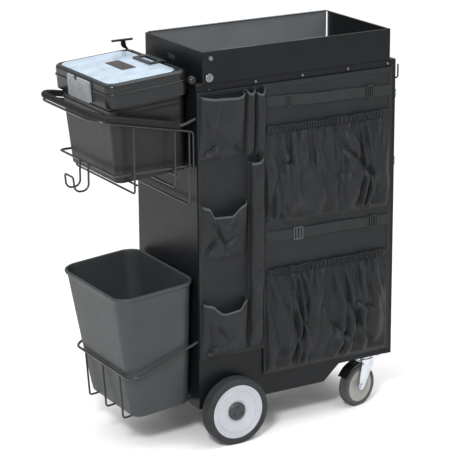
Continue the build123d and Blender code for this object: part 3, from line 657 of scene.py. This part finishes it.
def through(stops: Sequence[tuple[float, float]], t: np.ndarray) -> np.ndarray:
    """Values between stops, joined by soft steps.

    Args:
        stops: each stop's place and value.
        t: the places that values are wanted for.

    Returns:
        A value for each place.
    """
    made = np.full(np.shape(t), float(stops[0][1]))
    for (a, low), (b, high) in zip(stops, stops[1:]):
        made = np.where(t >= a, low + (high - low) * smooth((t - a) / (b - a)), made)
    return made


CLOTH_PLACE = Place("cart", "cloth", POLYESTER)
# The binding's paler colour is a painted highlight along the pockets' rolled mouth edges.
BINDING_PLACE = Place("cart", "cloth", BINDING_PAINTED_HIGHLIGHT)
HEM_PLACE = Place("cart", "cloth", HEM)


def ribbon(
    name: str, spine: np.ndarray, across: np.ndarray, width: float, thickness: float, place: Place
) -> bpy.types.Object:
    """Makes a flat tape with a slight crown along a spine.

    Args:
        name: the piece's name.
        spine: places in cart millimetres along the tape's middle.
        across: unit direction across the tape at each place, or one for all.
        width: the tape's width in millimetres.
        thickness: its thickness in millimetres.
        place: body, slot and finish.

    Returns:
        The new object.
    """
    crown_height = 0.35
    rows = []
    for share in (-0.5, -0.42, -0.2, 0, 0.2, 0.42, 0.5):
        crown = np.array([0, -crown_height * (1 - (2 * share) ** 4), 0])
        rows.append(spine + across * (share * width) + crown)
    return grid_piece(name, CART.shown(np.array(rows)), thickness, place)


@dataclass
class BackingCloth:
    """The organiser's backing: a hemmed cloth that hangs from snaps over the front sheet.

    All its sizes are in millimetres. Its lower left corner, under step_low, is cut away.
    """

    left: float = 3
    right: float = 662
    step_x: float = 222
    low: float = 182
    step_low: float = 265
    top: float = 1061
    face: float = -1.8
    snaps: tuple[float, ...] = (194, 351, 507, 647)
    snap_reach: float = 46
    snap_pull: float = 2.8
    sag_reach: float = 110
    sag: float = 1.3
    ripple: float = 0.8
    ruck: float = 0.35
    most_slack: float = 6
    edge_reach: float = 25
    thickness: float = 1.4

    def depth(self, x: np.ndarray, z: np.ndarray) -> np.ndarray:
        """The cloth's y: flat, with slack between the snaps and soft ripples.

        Args:
            x: places along the cart, in millimetres.
            z: heights, in millimetres.

        Returns:
            Places across the cart, in millimetres.
        """
        below = np.clip((self.top - z) / self.sag_reach, 0, 3)
        hang = below * np.exp(-below)
        slack = np.zeros(np.shape(x))
        for snap in self.snaps:
            slack = slack - self.snap_pull * bell((x - snap) / self.snap_reach) * hang
        slack = slack + self.sag * hang * (1 + crumple(x, z * 0.4, 70, 1))
        slack = slack + self.ripple * (1 + crumple(x, z, 120, 2)) + self.ruck * crumple(x, z, 28, 3)
        from_left = smooth((x - self.left) / self.edge_reach)
        edge = from_left * smooth((self.right - x) / self.edge_reach)
        return self.face - np.clip(slack, 0, self.most_slack) * (0.3 + 0.7 * edge)

    def build(self) -> None:
        """Builds the backing, and the hems and seams on it."""
        x, z = np.meshgrid(
            np.linspace(self.left, self.right, 190), np.linspace(self.low, self.top, 250)
        )
        y = self.depth(x, z)
        keep = ~((x[:-1, :-1] < self.step_x) & (z[:-1, :-1] < self.step_low))
        backing = grid_piece(
            "organiser_backing", CART.grid(x, y, z), self.thickness, CLOTH_PLACE, keep
        )
        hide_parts("organiser_panel")
        left, right, low, top = self.left, self.right, self.low, self.top
        step_x, step_low = self.step_x, self.step_low
        edges = {
            "top_hem": ((left, top - 6), (right, top - 6), 14),
            "right_hem": ((right - 6, low), (right - 6, top), 12),
            "bottom_hem": ((step_x, low + 6), (right, low + 6), 12),
            "left_bottom_hem": ((left, step_low + 6), (step_x, step_low + 6), 12),
            "left_hem": ((left + 5, step_low), (left + 5, top), 10),
            "middle_binding": ((step_x, low), (step_x, top), 11),
        }
        hems = [self._tape(name, *ends) for name, ends in edges.items()]

    def _tape(
        self, name: str, start: tuple[float, float], end: tuple[float, float], width: float
    ) -> bpy.types.Object:
        """Makes a tape sewn on the backing.

        Args:
            name: the piece's name, after the organiser's.
            start: the x and z of one end.
            end: the x and z of the other.
            width: the tape's width.

        Returns:
            The tape.
        """
        share = np.linspace(0, 1, 120)
        x = start[0] + (end[0] - start[0]) * share
        z = start[1] + (end[1] - start[1]) * share
        spine = np.stack([x, self.depth(x, z) - 1.5, z], axis=-1)
        flat = abs(end[0] - start[0]) > abs(end[1] - start[1])
        across = np.array([0, 0, 1.0]) if flat else np.array([1.0, 0, 0])
        return ribbon("organiser_" + name, spine, across, width, 0.9, HEM_PLACE)


@dataclass
class Pouch:
    """A pocket sewn on at its sides and bottom, standing open at its mouth.

    Sizes are in millimetres. The mouth gives how far the edge drops at shares across it.
    """

    name: str
    left: float
    right: float
    low: float
    high: float
    depth: float
    mouth: tuple[tuple[float, float], ...]
    base: float = 0.3
    squareness: float = 2.7
    creases: tuple[Crease, ...] = ()
    seed: int = 0
    back: float = -3.6
    furthest: float = -49.0
    columns: int = 90
    rows: int = 80
    tape: float = 6.0
    corner_rise: float = 9
    seam_share: float = 0.14
    pull_in: float = 1.75
    lump: float = 3.2
    ruck: float = 0.8
    sharp_fold: float = 6.0
    crease_gain: float = 1.7
    pucker: float = 3.0
    pucker_pitch: float = 26
    pucker_reach: float = 24

    def surface(self, across: np.ndarray, up: np.ndarray) -> np.ndarray:
        """Where the pocket's cloth lies.

        Args:
            across: shares of the way from its left seam to its right one.
            up: shares of the way from its bottom to its mouth.

        Returns:
            Places in cart millimetres.
        """
        round_share = 1 - np.abs(2 * across - 1) ** self.squareness
        bow = np.clip(round_share, 0, 1) ** (1 / self.squareness)
        drop = through(self.mouth, across)
        floor = self.low + self.corner_rise * (1 - bow) * (1 - up)
        z = floor + (self.high - drop * up - floor) * up
        closing = smooth(up / self.seam_share) ** 0.5
        stand = self.depth * (self.base + (1 - self.base) * smooth(up * 0.95)) * closing
        x = self.left + (self.right - self.left) * across
        x = x - self.pull_in * np.sin(math.tau * across) * bow * up
        soft = self.lump * crumple(x, z, 44, self.seed)
        soft = soft + self.ruck * crumple(x, z, 19, self.seed + 1)
        sharp = 0.4 - np.abs(crumple(0.8 * x + 0.45 * z, 0.7 * z - 0.3 * x, 34, self.seed + 3))
        soft = soft + self.sharp_fold * sharp * (1 - 0.6 * up)
        folds = self.crease_gain * sum((c.push(x, z) for c in self.creases), np.zeros(x.shape))
        phase = x / self.pucker_pitch + 0.8 * crumple(x, z * 0, 40, self.seed + 2)
        pucker = self.pucker * np.cos(math.tau * phase) * np.exp(-((z - floor) / self.pucker_reach))
        folds = folds + pucker * (1 - smooth(up / 0.4))
        y = self.back - stand * bow - (soft + folds) * bow * closing
        y = np.clip(y, self.furthest, self.back + 0.2)
        return np.stack([x, y, z], axis=-1)

    def build(self) -> bpy.types.Object:
        """Builds the pocket, and the tape over its mouth.

        Returns:
            The pocket.
        """
        share = 0.5 - 0.5 * np.cos(np.linspace(0, np.pi, self.columns))
        across, up = np.meshgrid(share, np.linspace(0, 1, self.rows))
        cloth = self.surface(across, up)
        pocket = grid_piece(self.name, CART.shown(cloth), 1.3, CLOTH_PLACE)
        tape = self._mouth_tape(share)
        # Rows below the mouth are shorter than it, so the flat width is a little under its length.
        return pocket

    def _mouth_tape(self, share: np.ndarray) -> bpy.types.Object:
        """Makes the tape folded over the mouth, inside and outside.

        Args:
            share: shares of the way across at which the tape has places.

        Returns:
            The tape.
        """
        span = self.high - self.low
        # How far under the mouth, and how far out from the cloth, each edge and fold lies.
        folds = (
            (self.tape, 1.0), (self.tape * 0.5, 1.25), (0.6, 1.1), (-0.6, 0.1), (0.6, -1.0),
            (self.tape * 0.8, -1.1),
        )
        rows = []
        for below, out in folds:
            ring = self.surface(share, np.full(share.shape, 1 - max(below, 0) / span))
            bow = np.clip(1 - np.abs(2 * share - 1) ** self.squareness, 0, 1)
            ring[:, 1] -= out * (0.4 + 0.6 * bow)
            ring[:, 2] += 0.8 if below < 0 else 0
            rows.append(ring)
        # The mouth tape's paler colour is a painted highlight on the mouth's rolled edge.
        return grid_piece(self.name + "_tape", CART.shown(np.array(rows)), 0.8, BINDING_PLACE)


@dataclass
class GatheredPocket:
    """A wide pocket gathered on elastic near its top, with a full belly below.

    Sizes are in millimetres. Each pair of a pleat's sizes is a range that a random value is drawn
    from, and belly gives shares of the depth at shares of the way up.
    """

    name: str
    low: float
    high: float
    creases: tuple[Crease, ...]
    seed: int
    left: float = 226
    right: float = 650
    depth: float = 38
    header: float = 22
    back: float = -3.6
    furthest: float = 46
    give: float = 42
    fullness: float = 1.35
    belly: tuple[tuple[float, float], ...] = (
        (0, 0), (0.06, 0.42), (0.24, 1), (0.5, 0.92), (0.82, 0.5), (0.93, 0.3), (1, 0.36)
    )
    pleat_gaps: tuple[float, float] = (13, 31)
    pleat_lengths: tuple[float, float] = (60, 250)
    pleat_depths: tuple[float, float] = (9, 20)
    pleat_widths: tuple[float, float] = (4.2, 7.5)
    pleat_slope: float = 0.11
    pleat_bend: float = 0.0006
    ruffle: float = 3.8
    ruffle_pitch: float = 9
    broad_fold: float = 12.0
    broad_pitch: float = 92
    elastic: float = 4.5
    sag: float = 9.0
    columns: int = 250
    rows: int = 130

    def pleats(self, x: np.ndarray, below: np.ndarray) -> np.ndarray:
        """Valleys that run down from the elastic and die out, one for each gather.

        Args:
            x: places along the cart, in millimetres.
            below: how far under the elastic each place is.

        Returns:
            Millimetres outwards, all of them negative or nought.
        """
        chance = np.random.default_rng(CLOTH_SEED + self.seed)
        pushed = np.zeros(np.shape(x))
        start = self.left + 10
        while start < self.right - 6:
            slope, bend = chance.normal(0, self.pleat_slope), chance.normal(0, self.pleat_bend)
            length = chance.uniform(*self.pleat_lengths)
            depth = chance.uniform(*self.pleat_depths)
            middle = start + slope * below + bend * below**2
            width = chance.uniform(*self.pleat_widths) * (1 + below / 130)
            away = (np.abs(x - middle) / width) ** 1.35
            pushed = pushed - depth * np.exp(-away) * bell(below / length) * smooth(below / 7)
            start += chance.uniform(*self.pleat_gaps)
        return pushed

    def surface(self, x: np.ndarray, z: np.ndarray) -> np.ndarray:
        """How far across the cart the pocket's cloth lies.

        Args:
            x: places along the cart, in millimetres.
            z: heights, in millimetres.

        Returns:
            Places across the cart, in millimetres.
        """
        across = (x - self.left) / (self.right - self.left)
        up = (z - self.low) / (self.high - self.low)
        edge = np.clip(1 - np.abs(2 * across - 1) ** 7, 0, 1) ** 0.4
        below = np.clip((self.high - self.header - z), 0, None)
        drift = 1.1 * crumple(x, z * 0, 75, self.seed) + 0.5 * crumple(x, z, 95, self.seed + 1)
        fine = np.cos(math.tau * (x / self.ruffle_pitch + 1.5 * drift))
        wander = 0.5 * crumple(x, z, 150, self.seed + 3)
        broad = np.cos(math.tau * (x / self.broad_pitch + 0.9 * drift + wander))
        lively = 0.65 + 0.35 * crumple(x, z, 80, self.seed + 6)
        ruffle = self.ruffle * fine * np.exp(-below / 14)
        pleat = 3.5 * smooth(below / 14) * np.exp(-below / 90) + self.pleats(x, below)
        fold = self.broad_fold * lively * broad * smooth(below / 70)
        soft = 3.0 * crumple(x, z, 52, self.seed + 4) + 0.9 * crumple(x, z, 21, self.seed + 5)
        marks = sum((c.push(x, z) for c in self.creases), np.zeros(x.shape))
        elastic = -self.elastic * bell((z - self.high + self.header) / 3.0)
        calm = smooth(up / 0.12)
        belly = self.depth * 0.6 * through(self.belly, up)
        out = belly + elastic + (ruffle + pleat + fold + soft + marks) * calm
        out = self.furthest * np.tanh(np.clip(out, 0.4, None) / self.give)
        return self.back - out * (0.12 + 0.88 * edge) * np.clip(edge * 4, 0, 1)

    def build(self) -> bpy.types.Object:
        """Builds the pocket.

        Returns:
            The cloth piece.
        """
        x, z = np.meshgrid(
            np.linspace(self.left, self.right, self.columns),
            np.linspace(self.low, self.high, self.rows),
        )
        y = self.surface(x, z)
        x = x + 1.6 * crumple(x, z, 40, self.seed + 8) * np.clip((x - self.left) / 20, 0, 1)
        over = smooth((z - self.high + self.header) / self.header)
        rise = 2.5 * crumple(x, z * 0, 22, self.seed + 9) * over
        up = (z - self.low) / (self.high - self.low)
        sag = self.sag * bell((up - 0.09) / 0.12) * np.clip((-y - 8) / 24, 0, 1)
        pocket = grid_piece(self.name, CART.grid(x, y, z + rise - sag), 1.2, CLOTH_PLACE)
        return pocket


@dataclass
class Bands:
    """Webbing bands across the organiser, with the slides on them."""

    left: float = 223
    right: float = 656
    width: float = 31
    heights: tuple[tuple[float, float, float], ...] = ((1008, 1000, 994), (604, 602, 596))
    thickness: float = 1.5
    slides: tuple[tuple[str, float, float, float, float], ...] = (
        ("upper_left_slide", 302, 1004, 14, 36), ("upper_right_slide", 580, 997, 22, 36),
        ("lower_left_slide", 334, 603, 30, 37), ("lower_right_slide", 600, 597, 24, 37),
    )

    def build(self, backing: BackingCloth) -> None:
        """Builds both bands and the slides on them.

        Args:
            backing: the cloth that they lie on.
        """
        for number, (start, middle, end) in enumerate(self.heights):
            share = np.linspace(0, 1, 160)
            x = self.left + (self.right - self.left) * share
            z = through(((0, start), (0.5, middle), (1, end)), share)
            slack = 1.2 + 1.6 * (1 + crumple(x, z * 0, 60, 31 + number))
            y = backing.depth(x, z) - 1.4 - slack * np.sin(np.pi * share) ** 0.5
            spine = np.stack([x, y, z], axis=-1)
            name = ("upper_band", "lower_band")[number]
            upright = np.array([0, 0, 1.0])
            place = Place("cart", "webbing", WEBBING)
            band = ribbon(name, spine, upright, self.width, self.thickness, place)
        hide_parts("webbing_bands")
        slides = [self._slide(*slide) for slide in self.slides]
        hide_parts("band_buckles")

    def _slide(
        self, name: str, x: float, z: float, width: float, height: float
    ) -> bpy.types.Object:
        """Makes a slide: a rounded frame with two cross bars, in wire at the lower left.

        Args:
            name: the piece's name.
            x: its middle along the cart, in millimetres.
            z: its middle's height.
            width: its width.
            height: its height.

        Returns:
            The slide.
        """
        y = -9.2
        ring = [CART.at(x + a, y, z + b) for a, b in rounded(width, height, 4)]
        bars = [
            [CART.at(x + a, y, z - height / 2), CART.at(x + a, y, z + height / 2)]
            for a in (-width * 0.18, width * 0.18)
        ]
        wire = name == "lower_left_slide"
        place = Place("cart", "black_plastic", BURNISHED_STEEL if wire else BLACK_ACETAL)
        return rod_piece(name, [[*ring, ring[0]], *bars], 0.8 if wire else 1.7, place)


# -------- toolbox and wastebasket


@dataclass
class Wastebasket:
    """A moulded bin with bowed sides, a rolled rim and two small ribs in its wall."""

    bottom: tuple[float, float] = (184, 300)
    top: tuple[float, float] = (246, 378)
    height: float = 388
    corners: tuple[float, float] = (32, 48)
    wall: float = 2.4
    bow: float = 5.0

    def _ring(self, w: float, grow: float) -> np.ndarray:
        """One closed ring of places.

        Args:
            w: its height up the leaning middle, in millimetres.
            grow: how far outside the plain wall it runs, in millimetres.

        Returns:
            The ring's places, in metres.
        """
        share = w / self.height
        width, depth = (a + (b - a) * share + 2 * grow for a, b in zip(self.bottom, self.top))
        corner = self.corners[0] + (self.corners[1] - self.corners[0]) * share + grow
        ring = []
        for u, v in rounded(width, depth, max(corner, 4), 10):
            swell = self.bow * math.sin(math.pi * min(1, share)) * 0.6
            ring.append(BIN_FRAME.at(u * (1 + swell / width), v * (1 + swell / depth), w))
        return np.array([tuple(p) for p in ring])

    def build(self) -> None:
        """Builds the bin and puts it in place of its plain solid."""
        tall, wall = self.height, self.wall
        # Heights and outward steps, from under the middle, over the rolled rim and down inside.
        profile = [
            (0.6, -70), (0.6, -20), (0.2, -6), (1.8, -1.6), (6, 0), (22, 0), (23, 0.5), (60, 0.3),
            (tall * 0.5, 0), (tall - 30, 0), (tall - 22, 0), (tall - 20, 1.2), (tall - 11, 1.6),
            (tall - 10.5, 5.4), (tall - 8, 6.4), (tall - 3, 6.6), (tall - 0.8, 5.2), (tall, 2.6),
            (tall - 0.3, -0.4), (tall - 2.5, -wall), (tall - 20, -wall), (tall * 0.5, -wall),
            (30, -wall), (wall + 6, -wall - 1), (wall + 1, -wall - 6), (wall, -20), (wall, -70),
        ]
        rings = np.array([self._ring(w, grow) for w, grow in profile])
        rows, columns = rings.shape[:2]
        faces = [
            (j * columns + i, j * columns + (i + 1) % columns,
             (j + 1) * columns + (i + 1) % columns, (j + 1) * columns + i)
            for j in range(rows - 1) for i in range(columns)
        ]
        last = (rows - 1) * columns
        faces += [tuple(reversed(range(columns))), tuple(last + i for i in range(columns))]
        place = Place("wastebasket", "bin_plastic", BIN_POLYETHYLENE)
        bin_piece = mesh_piece("moulded_bin", rings.reshape(-1, 3), faces, place)
        bin_piece.modifiers.new("smoothing", "SUBSURF").levels = 1
        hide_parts("wastebasket")
        rib_face, rib_foot = -182.5, tall - 22
        rib_outline = ((0, 12), (4, 12), (3, 1), (1, 1))
        for number, u in enumerate((-38, 62)):
            rib = [BIN_FRAME.at(u + a, rib_face, rib_foot + b) for a, b in rib_outline]
            slab_piece(f"bin_rib_{number + 1}", rib, Vector((0, -5 * MM, 0)), 0.6, place)


@dataclass
class ToolboxTrim:
    """The cover, card, bead and ribs that finish the toolbox's moulded solids."""

    cover_height: float = 288.3
    card_heights: tuple[float, float] = (290.2, 290.6)
    bead_height: float = 262
    rib_heights: tuple[float, ...] = (196, 210)
    body_height: float = 232
    latch_span: tuple[float, float] = (-74, 70)

    def build(self) -> None:
        """Builds each trim piece on the toolbox."""
        self._cover()
        self._card()
        self._ribs()
        self._bead()

    def _cover(self) -> None:
        """The clear cover, with round corners, inside the lid's black rim."""
        outline = [
            TOOLBOX_FRAME.at(u - 8.5, v + 2, self.cover_height)
            for u, v in rounded(216, 320, 30, 10)
        ]
        place = Place("lid", "window", COVER_STYRENE)
        cover = slab_piece("lid_cover", outline, TOOLBOX_FRAME.w_axis * 2.0 * MM, 0.8, place)
        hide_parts("toolbox_window")

    def _card(self) -> None:
        """A plain printed card on the clear cover."""
        low, high = self.card_heights
        outline = [TOOLBOX_FRAME.at(u + 6, v + 10, low) for u, v in rounded(46, 112, 5)]
        push = TOOLBOX_FRAME.w_axis * (high - low) * MM
        slab_piece("lid_card", outline, push, 0.2, Place("lid", "window", CARD))

    def _bead(self) -> None:
        """A moulded bead round the lid, open where the latch hangs."""
        front, (low, high) = -130.5, self.latch_span
        whole = [(u - 2.5, v) for u, v in rounded(255, 354, 29, 8)]
        route = [(u, v) for u, v in whole if u > -120 or not low < v < high]
        route = sorted([(front, high), *route, (front, low)], key=self._bearing)
        ring = [TOOLBOX_FRAME.at(u, v, self.bead_height) for u, v in route]
        rod_piece("lid_bead", [ring], 2.6, Place("lid", "box_plastic", LID_POLYPROPYLENE))

    def _bearing(self, place: tuple[float, float]) -> float:
        """The way round the lid from the latch to a place."""
        return math.atan2(place[1], -place[0]) % math.tau

    def _ribs(self) -> None:
        """Low ribs round the body under the lid."""
        place = Place("toolbox", "box_plastic", BOX_POLYPROPYLENE)
        for number, w in enumerate(self.rib_heights):
            share = w / self.body_height
            width, depth = 222 + 16 * share + 2.4, 306 + 26 * share + 2.4
            ring = [TOOLBOX_FRAME.at(u, v, w) for u, v in rounded(width, depth, 26, 8)]
            rod_piece(f"body_rib_{number + 1}", [ring], 1.4, place, closed=True)


@dataclass
class WheelTrim:
    """Low moulded rings that stand on a drive wheel's outer face.

    Each ring has a radius and a depth in from the rim's outermost face, in millimetres.
    """

    node: str
    body: str
    outward: float = -1.0
    rings: tuple[tuple[float, float], ...] = ((76, 2.0), (64, 3.4), (34, 9.4))
    steps: int = 96

    def build(self) -> None:
        """Builds the rings, sunk half into the wheel's face."""
        low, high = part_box(self.node)
        middle = (low + high) / 2
        face = low.y if self.outward < 0 else high.y
        place = Place(self.body, "wheel_rim", WHEEL_POLYPROPYLENE)
        turns = [math.tau * step / self.steps for step in range(self.steps)]
        for number, (radius, depth) in enumerate(self.rings):
            y = face + depth * MM * -self.outward
            ring = [
                Vector(
                    (
                        middle.x + radius * MM * math.cos(turn),
                        y,
                        middle.z + radius * MM * math.sin(turn),
                    )
                )
                for turn in turns
            ]
            rod_piece(f"{self.body}_ring_{number + 1}", [ring], 2.1, place, closed=True)


# -------- the cart


WHEEL_TRIMS = (
    WheelTrim("front_wheel_rim", "front_wheel"),
    WheelTrim("rear_wheel_rim", "rear_wheel", 1.0),
)


@dataclass
class CabinetTrim:
    """The folded edge that finishes the cabinet's front sheet, in cart millimetres."""

    corners: tuple[tuple[float, float], ...] = ((24, 2.3), (652, 2.3), (652, 20), (24, 20))
    underside: float = 1080.4
    sheet: float = 2

    def build(self) -> None:
        """Builds the return along the top of the front sheet."""
        outline = [CART.at(x, y, self.underside) for x, y in self.corners]
        place = Place("cart", "cabinet", POWDER_COAT)
        slab_piece("front_top_return", outline, Vector((0, 0, self.sheet * MM)), 0.3, place)


NODE_FINISHES = {
    POWDER_COAT: (
        "left_end_panel", "right_end_panel", "front_panel", "base_pan", "tray_deck",
        "tray_front_panel", "tray_left_panel", "tray_right_panel",
    ),
    WORN_COAT: ("shelves",),
    # The flap and its hinge take the black coat painted light grey, a painted reflection of the
    # light on the flap's inner face.
    PAINTED_SHEEN_COAT: ("tray_back_flap", "flap_hinge"),
    BLACK_OXIDE: (
        "ball_knob", "bag_arm", "end_hook", "axle_brackets",
        "front_brake_pedal", "rear_brake_pedal",
    ),
    DIPPED_WIRE: (
        "handle_rod", "basket_rim", "basket_rail", "basket_wires", "hook_wire",
        "wastebasket_holder",
    ),
    ZINC_PLATE: (
        "axle", "caster_plates", "caster_bolts", "front_caster_fork", "rear_caster_fork",
        "front_caster_axle", "rear_caster_axle", "upper_d_ring", "lower_d_ring",
    ),
    NICKEL: ("cam_lock_body", "cam_lock_plug"),
    BURNISHED_STEEL: ("panel_fasteners",),
    WHEEL_POLYPROPYLENE: ("front_wheel_rim", "rear_wheel_rim"),
    CASTER_POLYPROPYLENE: ("front_caster_rim", "rear_caster_rim"),
    HUB_ABS: ("front_hub_cap", "rear_hub_cap", "name_plate"),
    TYRE_RUBBER: ("front_wheel_tyre", "rear_wheel_tyre"),
    CASTER_RUBBER: ("front_caster_tyre", "rear_caster_tyre"),
    GRIP_FOAM: ("handle_grip",),
    BOX_POLYPROPYLENE: ("toolbox_body",),
    LID_POLYPROPYLENE: ("toolbox_lid",),
    LATCH_POLYPROPYLENE: ("toolbox_latch",),
    COVER_STYRENE: ("toolbox_window",),
    BLACK_ACETAL: ("toolbox_handle", "d_ring_tabs"),
}


@dataclass
class Studio:
    """Pale floor, soft lights and the camera, with the room's glow at its foot and top."""

    glow: tuple[float, float] = (0.2, 1.55)
    floor_reach: float = 30
    yaw: float = 30.0531
    pitch: float = 16.8416
    roll: float = -0.4253
    lens: float = 162.965
    eye: Vector = field(default_factory=lambda: Vector((-2.89385, -5.02094, 2.35659)))

    def build(self) -> None:
        """Builds the camera, the floor and the lights."""
        self._camera()
        self._floor()
        self._lights()

    def _camera(self) -> None:
        """The camera, at the angle the cart is shown from."""
        data = bpy.data.cameras.new("camera")
        data.lens = self.lens
        data.sensor_width = 36
        data.clip_end = 100
        camera = bpy.data.objects.new("camera", data)
        turn = (
            Matrix.Rotation(math.radians(-self.yaw), 4, "Z")
            @ Matrix.Rotation(math.radians(90 - self.pitch), 4, "X")
            @ Matrix.Rotation(math.radians(self.roll), 4, "Z")
        )
        camera.matrix_world = Matrix.Translation(self.eye) @ turn
        bpy.context.scene.collection.objects.link(camera)
        bpy.context.scene.camera = camera

    def _floor(self) -> None:
        """A plain pale floor."""
        mesh = bpy.data.meshes.new("floor")
        far = self.floor_reach
        corners = [(-far, -far, 0), (far, -far, 0), (far, far, 0), (-far, far, 0)]
        mesh.from_pydata(corners, [], [(0, 1, 2, 3)])
        floor = bpy.data.objects.new("floor", mesh)
        bpy.context.scene.collection.objects.link(floor)
        paint = bpy.data.materials.new("pale_floor")
        paint.use_nodes = True
        shader = paint.node_tree.nodes["Principled BSDF"]
        shader.inputs["Base Color"].default_value = linear("#f4f4f4")
        shader.inputs["Roughness"].default_value = 0.9
        mesh.materials.append(paint)

    def _lights(self) -> None:
        """Soft boxes at the front, the handle end and above, in a pale room."""
        world = bpy.data.worlds.new("pale_room")
        world.use_nodes = True
        tree = world.node_tree
        place = add(tree, "ShaderNodeTexCoord").outputs["Generated"]
        height = add(tree, "ShaderNodeSeparateXYZ", links={"Vector": place}).outputs["Z"]
        settings = {"From Max": 1.0, "To Min": self.glow[0], "To Max": self.glow[1]}
        glow = add(tree, "ShaderNodeMapRange", settings, {"Value": height}).outputs["Result"]
        tree.links.new(glow, tree.nodes["Background"].inputs["Strength"])
        tree.nodes["Background"].inputs["Color"].default_value = linear("#ffffff")
        bpy.context.scene.world = world
        boxes = (
            ("front_box", (1.6, -3.4, 2.6), 1.6, 8),
            ("handle_box", (-3.4, -0.6, 2.6), 1.6, 5),
            ("key_box", (-2.2, -2.5, 2.8), 0.6, 110),
            ("top_box", (0.9, -0.7, 3.4), 1.6, 26),
        )
        for name, where, size, power in boxes:
            data = bpy.data.lights.new(name, "AREA")
            data.size = size
            data.energy = power
            lamp = bpy.data.objects.new(name, data)
            lamp.location = where
            aim = Vector((0, 0, 0.6)) - lamp.location
            lamp.rotation_euler = aim.to_track_quat("-Z", "Y").to_euler()
            bpy.context.scene.collection.objects.link(lamp)
        bpy.context.scene.view_settings.view_transform = "Standard"


POUCHES = (
    Pouch(
        "top_pouch", 5, 151, 862, 1050, 35, ((0, -2), (0.3, 4), (0.75, 8), (1, 2)),
        seed=11,
        creases=(
            Crease(((20, 1020), (34, 950), (28, 880)), 4.0, 9),
            Crease(((70, 1040), (60, 960), (48, 884)), 3.0, 10),
            Crease(((10, 880), (30, 886), (62, 905)), 5.0, 7),
            Crease(((110, 900), (136, 890), (150, 880)), 3.0, 8),
        ),
    ),
    Pouch(
        "middle_pouch", 5, 156, 563, 726, 34,
        ((0, -8), (0.1, -4), (0.26, 26), (0.55, 26), (0.85, 2), (1, -2)),
        seed=13,
        creases=(
            Crease(((40, 690), (62, 640), (96, 590)), 6.0, 7),
            Crease(((14, 575), (34, 606), (52, 640)), 6.0, 6),
            Crease(((120, 700), (100, 660), (92, 620)), 3.5, 9),
            Crease(((60, 585), (90, 610), (130, 640)), 3.0, 8),
        ),
    ),
    Pouch(
        "bottom_pouch", 5, 156, 266, 434, 34,
        ((0, -8), (0.12, -4), (0.42, 26), (0.72, 22), (0.92, 2), (1, -2)),
        seed=17,
        creases=(
            Crease(((22, 410), (34, 350), (40, 290)), 4.0, 8),
            Crease(((48, 372), (66, 350), (86, 328)), 3.5, 6),
            Crease(((12, 282), (34, 292), (58, 300)), 5.0, 6),
        ),
    ),
)

TUBES = (
    Pouch(
        "left_tube", 152, 183, 854, 1054, 25, ((0, -2), (0.4, 8), (1, -4)),
        base=0.7, squareness=2.0, seed=21, columns=36,
    ),
    Pouch(
        "right_tube", 185, 217, 854, 1052, 27, ((0, 6), (0.45, 12), (1, -6)),
        base=0.75, squareness=2.0, seed=23, columns=40,
    ),
    Pouch(
        "long_pocket", 165, 208, 271, 848, 29, ((0, 6), (0.5, 6), (1, -6)),
        base=0.8, squareness=3.4, seed=25, columns=50, rows=150,
    ),
)

GATHERED = (
    GatheredPocket(
        "upper_gathered_pocket", 636, 936, seed=41,
        creases=(
            Crease(((262, 905), (256, 850), (266, 800), (248, 720), (230, 655)), 12, 8, 0.5),
            Crease(((330, 850), (300, 822), (262, 806)), 7, 6, 0.8),
            Crease(((455, 905), (477, 855), (530, 805), (584, 749), (618, 680)), 11, 8, 0.7),
            Crease(((374, 915), (386, 800), (400, 690)), 6, 7, 0.7),
            Crease(((330, 900), (338, 800), (334, 700)), 5, 7, 0.6),
            Crease(((280, 700), (300, 670), (318, 648)), 5, 7, 0.6),
            Crease(((430, 790), (470, 760), (540, 770)), 4, 8, 0.6),
            Crease(((480, 900), (520, 880), (560, 850)), 5, 8, 0.6),
            Crease(((410, 880), (430, 820), (460, 760)), 5, 9, 0.6),
        ),
    ),
    GatheredPocket(
        "lower_gathered_pocket", 181, 506, seed=61,
        creases=(
            Crease(((250, 478), (280, 420), (300, 360), (300, 300)), 8, 8, 0.6),
            Crease(((300, 480), (326, 405), (354, 321)), 8, 7, 0.6),
            Crease(((370, 430), (363, 330), (330, 260), (288, 212)), 10, 8, 0.7),
            Crease(((310, 330), (296, 280), (262, 230)), 6, 7, 0.6),
            Crease(((408, 470), (430, 400), (450, 300)), 8, 8, 0.7),
            Crease(((436, 320), (480, 270), (540, 232)), 7, 9, 0.6),
            Crease(((482, 470), (508, 372), (545, 286), (606, 210)), 12, 8, 0.7),
            Crease(((530, 360), (570, 340), (610, 320)), 6, 7, 0.6),
        ),
    ),
)


@dataclass
class Organiser:
    """The whole fabric organiser on the cabinet's front."""

    backing: BackingCloth = field(default_factory=BackingCloth)
    bands: Bands = field(default_factory=Bands)

    def build(self) -> None:
        """Builds the backing, its pockets and its bands."""
        self.backing.build()
        pouches = [pouch.build() for pouch in POUCHES]
        tubes = [tube.build() for tube in TUBES]
        gathered = [pocket.build() for pocket in GATHERED]
        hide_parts("pouch_pockets")
        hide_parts("tube_pockets")
        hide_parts("gathered_pockets")
        self.bands.build(self.backing)


def dress_frame() -> None:
    """Gives every kept CAD node its finish."""
    for finish, names in NODE_FINISHES.items():
        for name in names:
            dress(frame["nodes"][name], finish)
        LOG.info("dressed %d nodes with %s", len(names), finish.name)


def main() -> None:
    """Builds the studio and the cart's looks in order."""
    logging.basicConfig(level=logging.INFO, format="%(name)s: %(message)s")
    Studio().build()
    dress_frame()
    Organiser().build()
    CabinetTrim().build()
    for trim in WHEEL_TRIMS:
        trim.build()
    Wastebasket().build()
    ToolboxTrim().build()


if __name__ == "__main__":
    main()
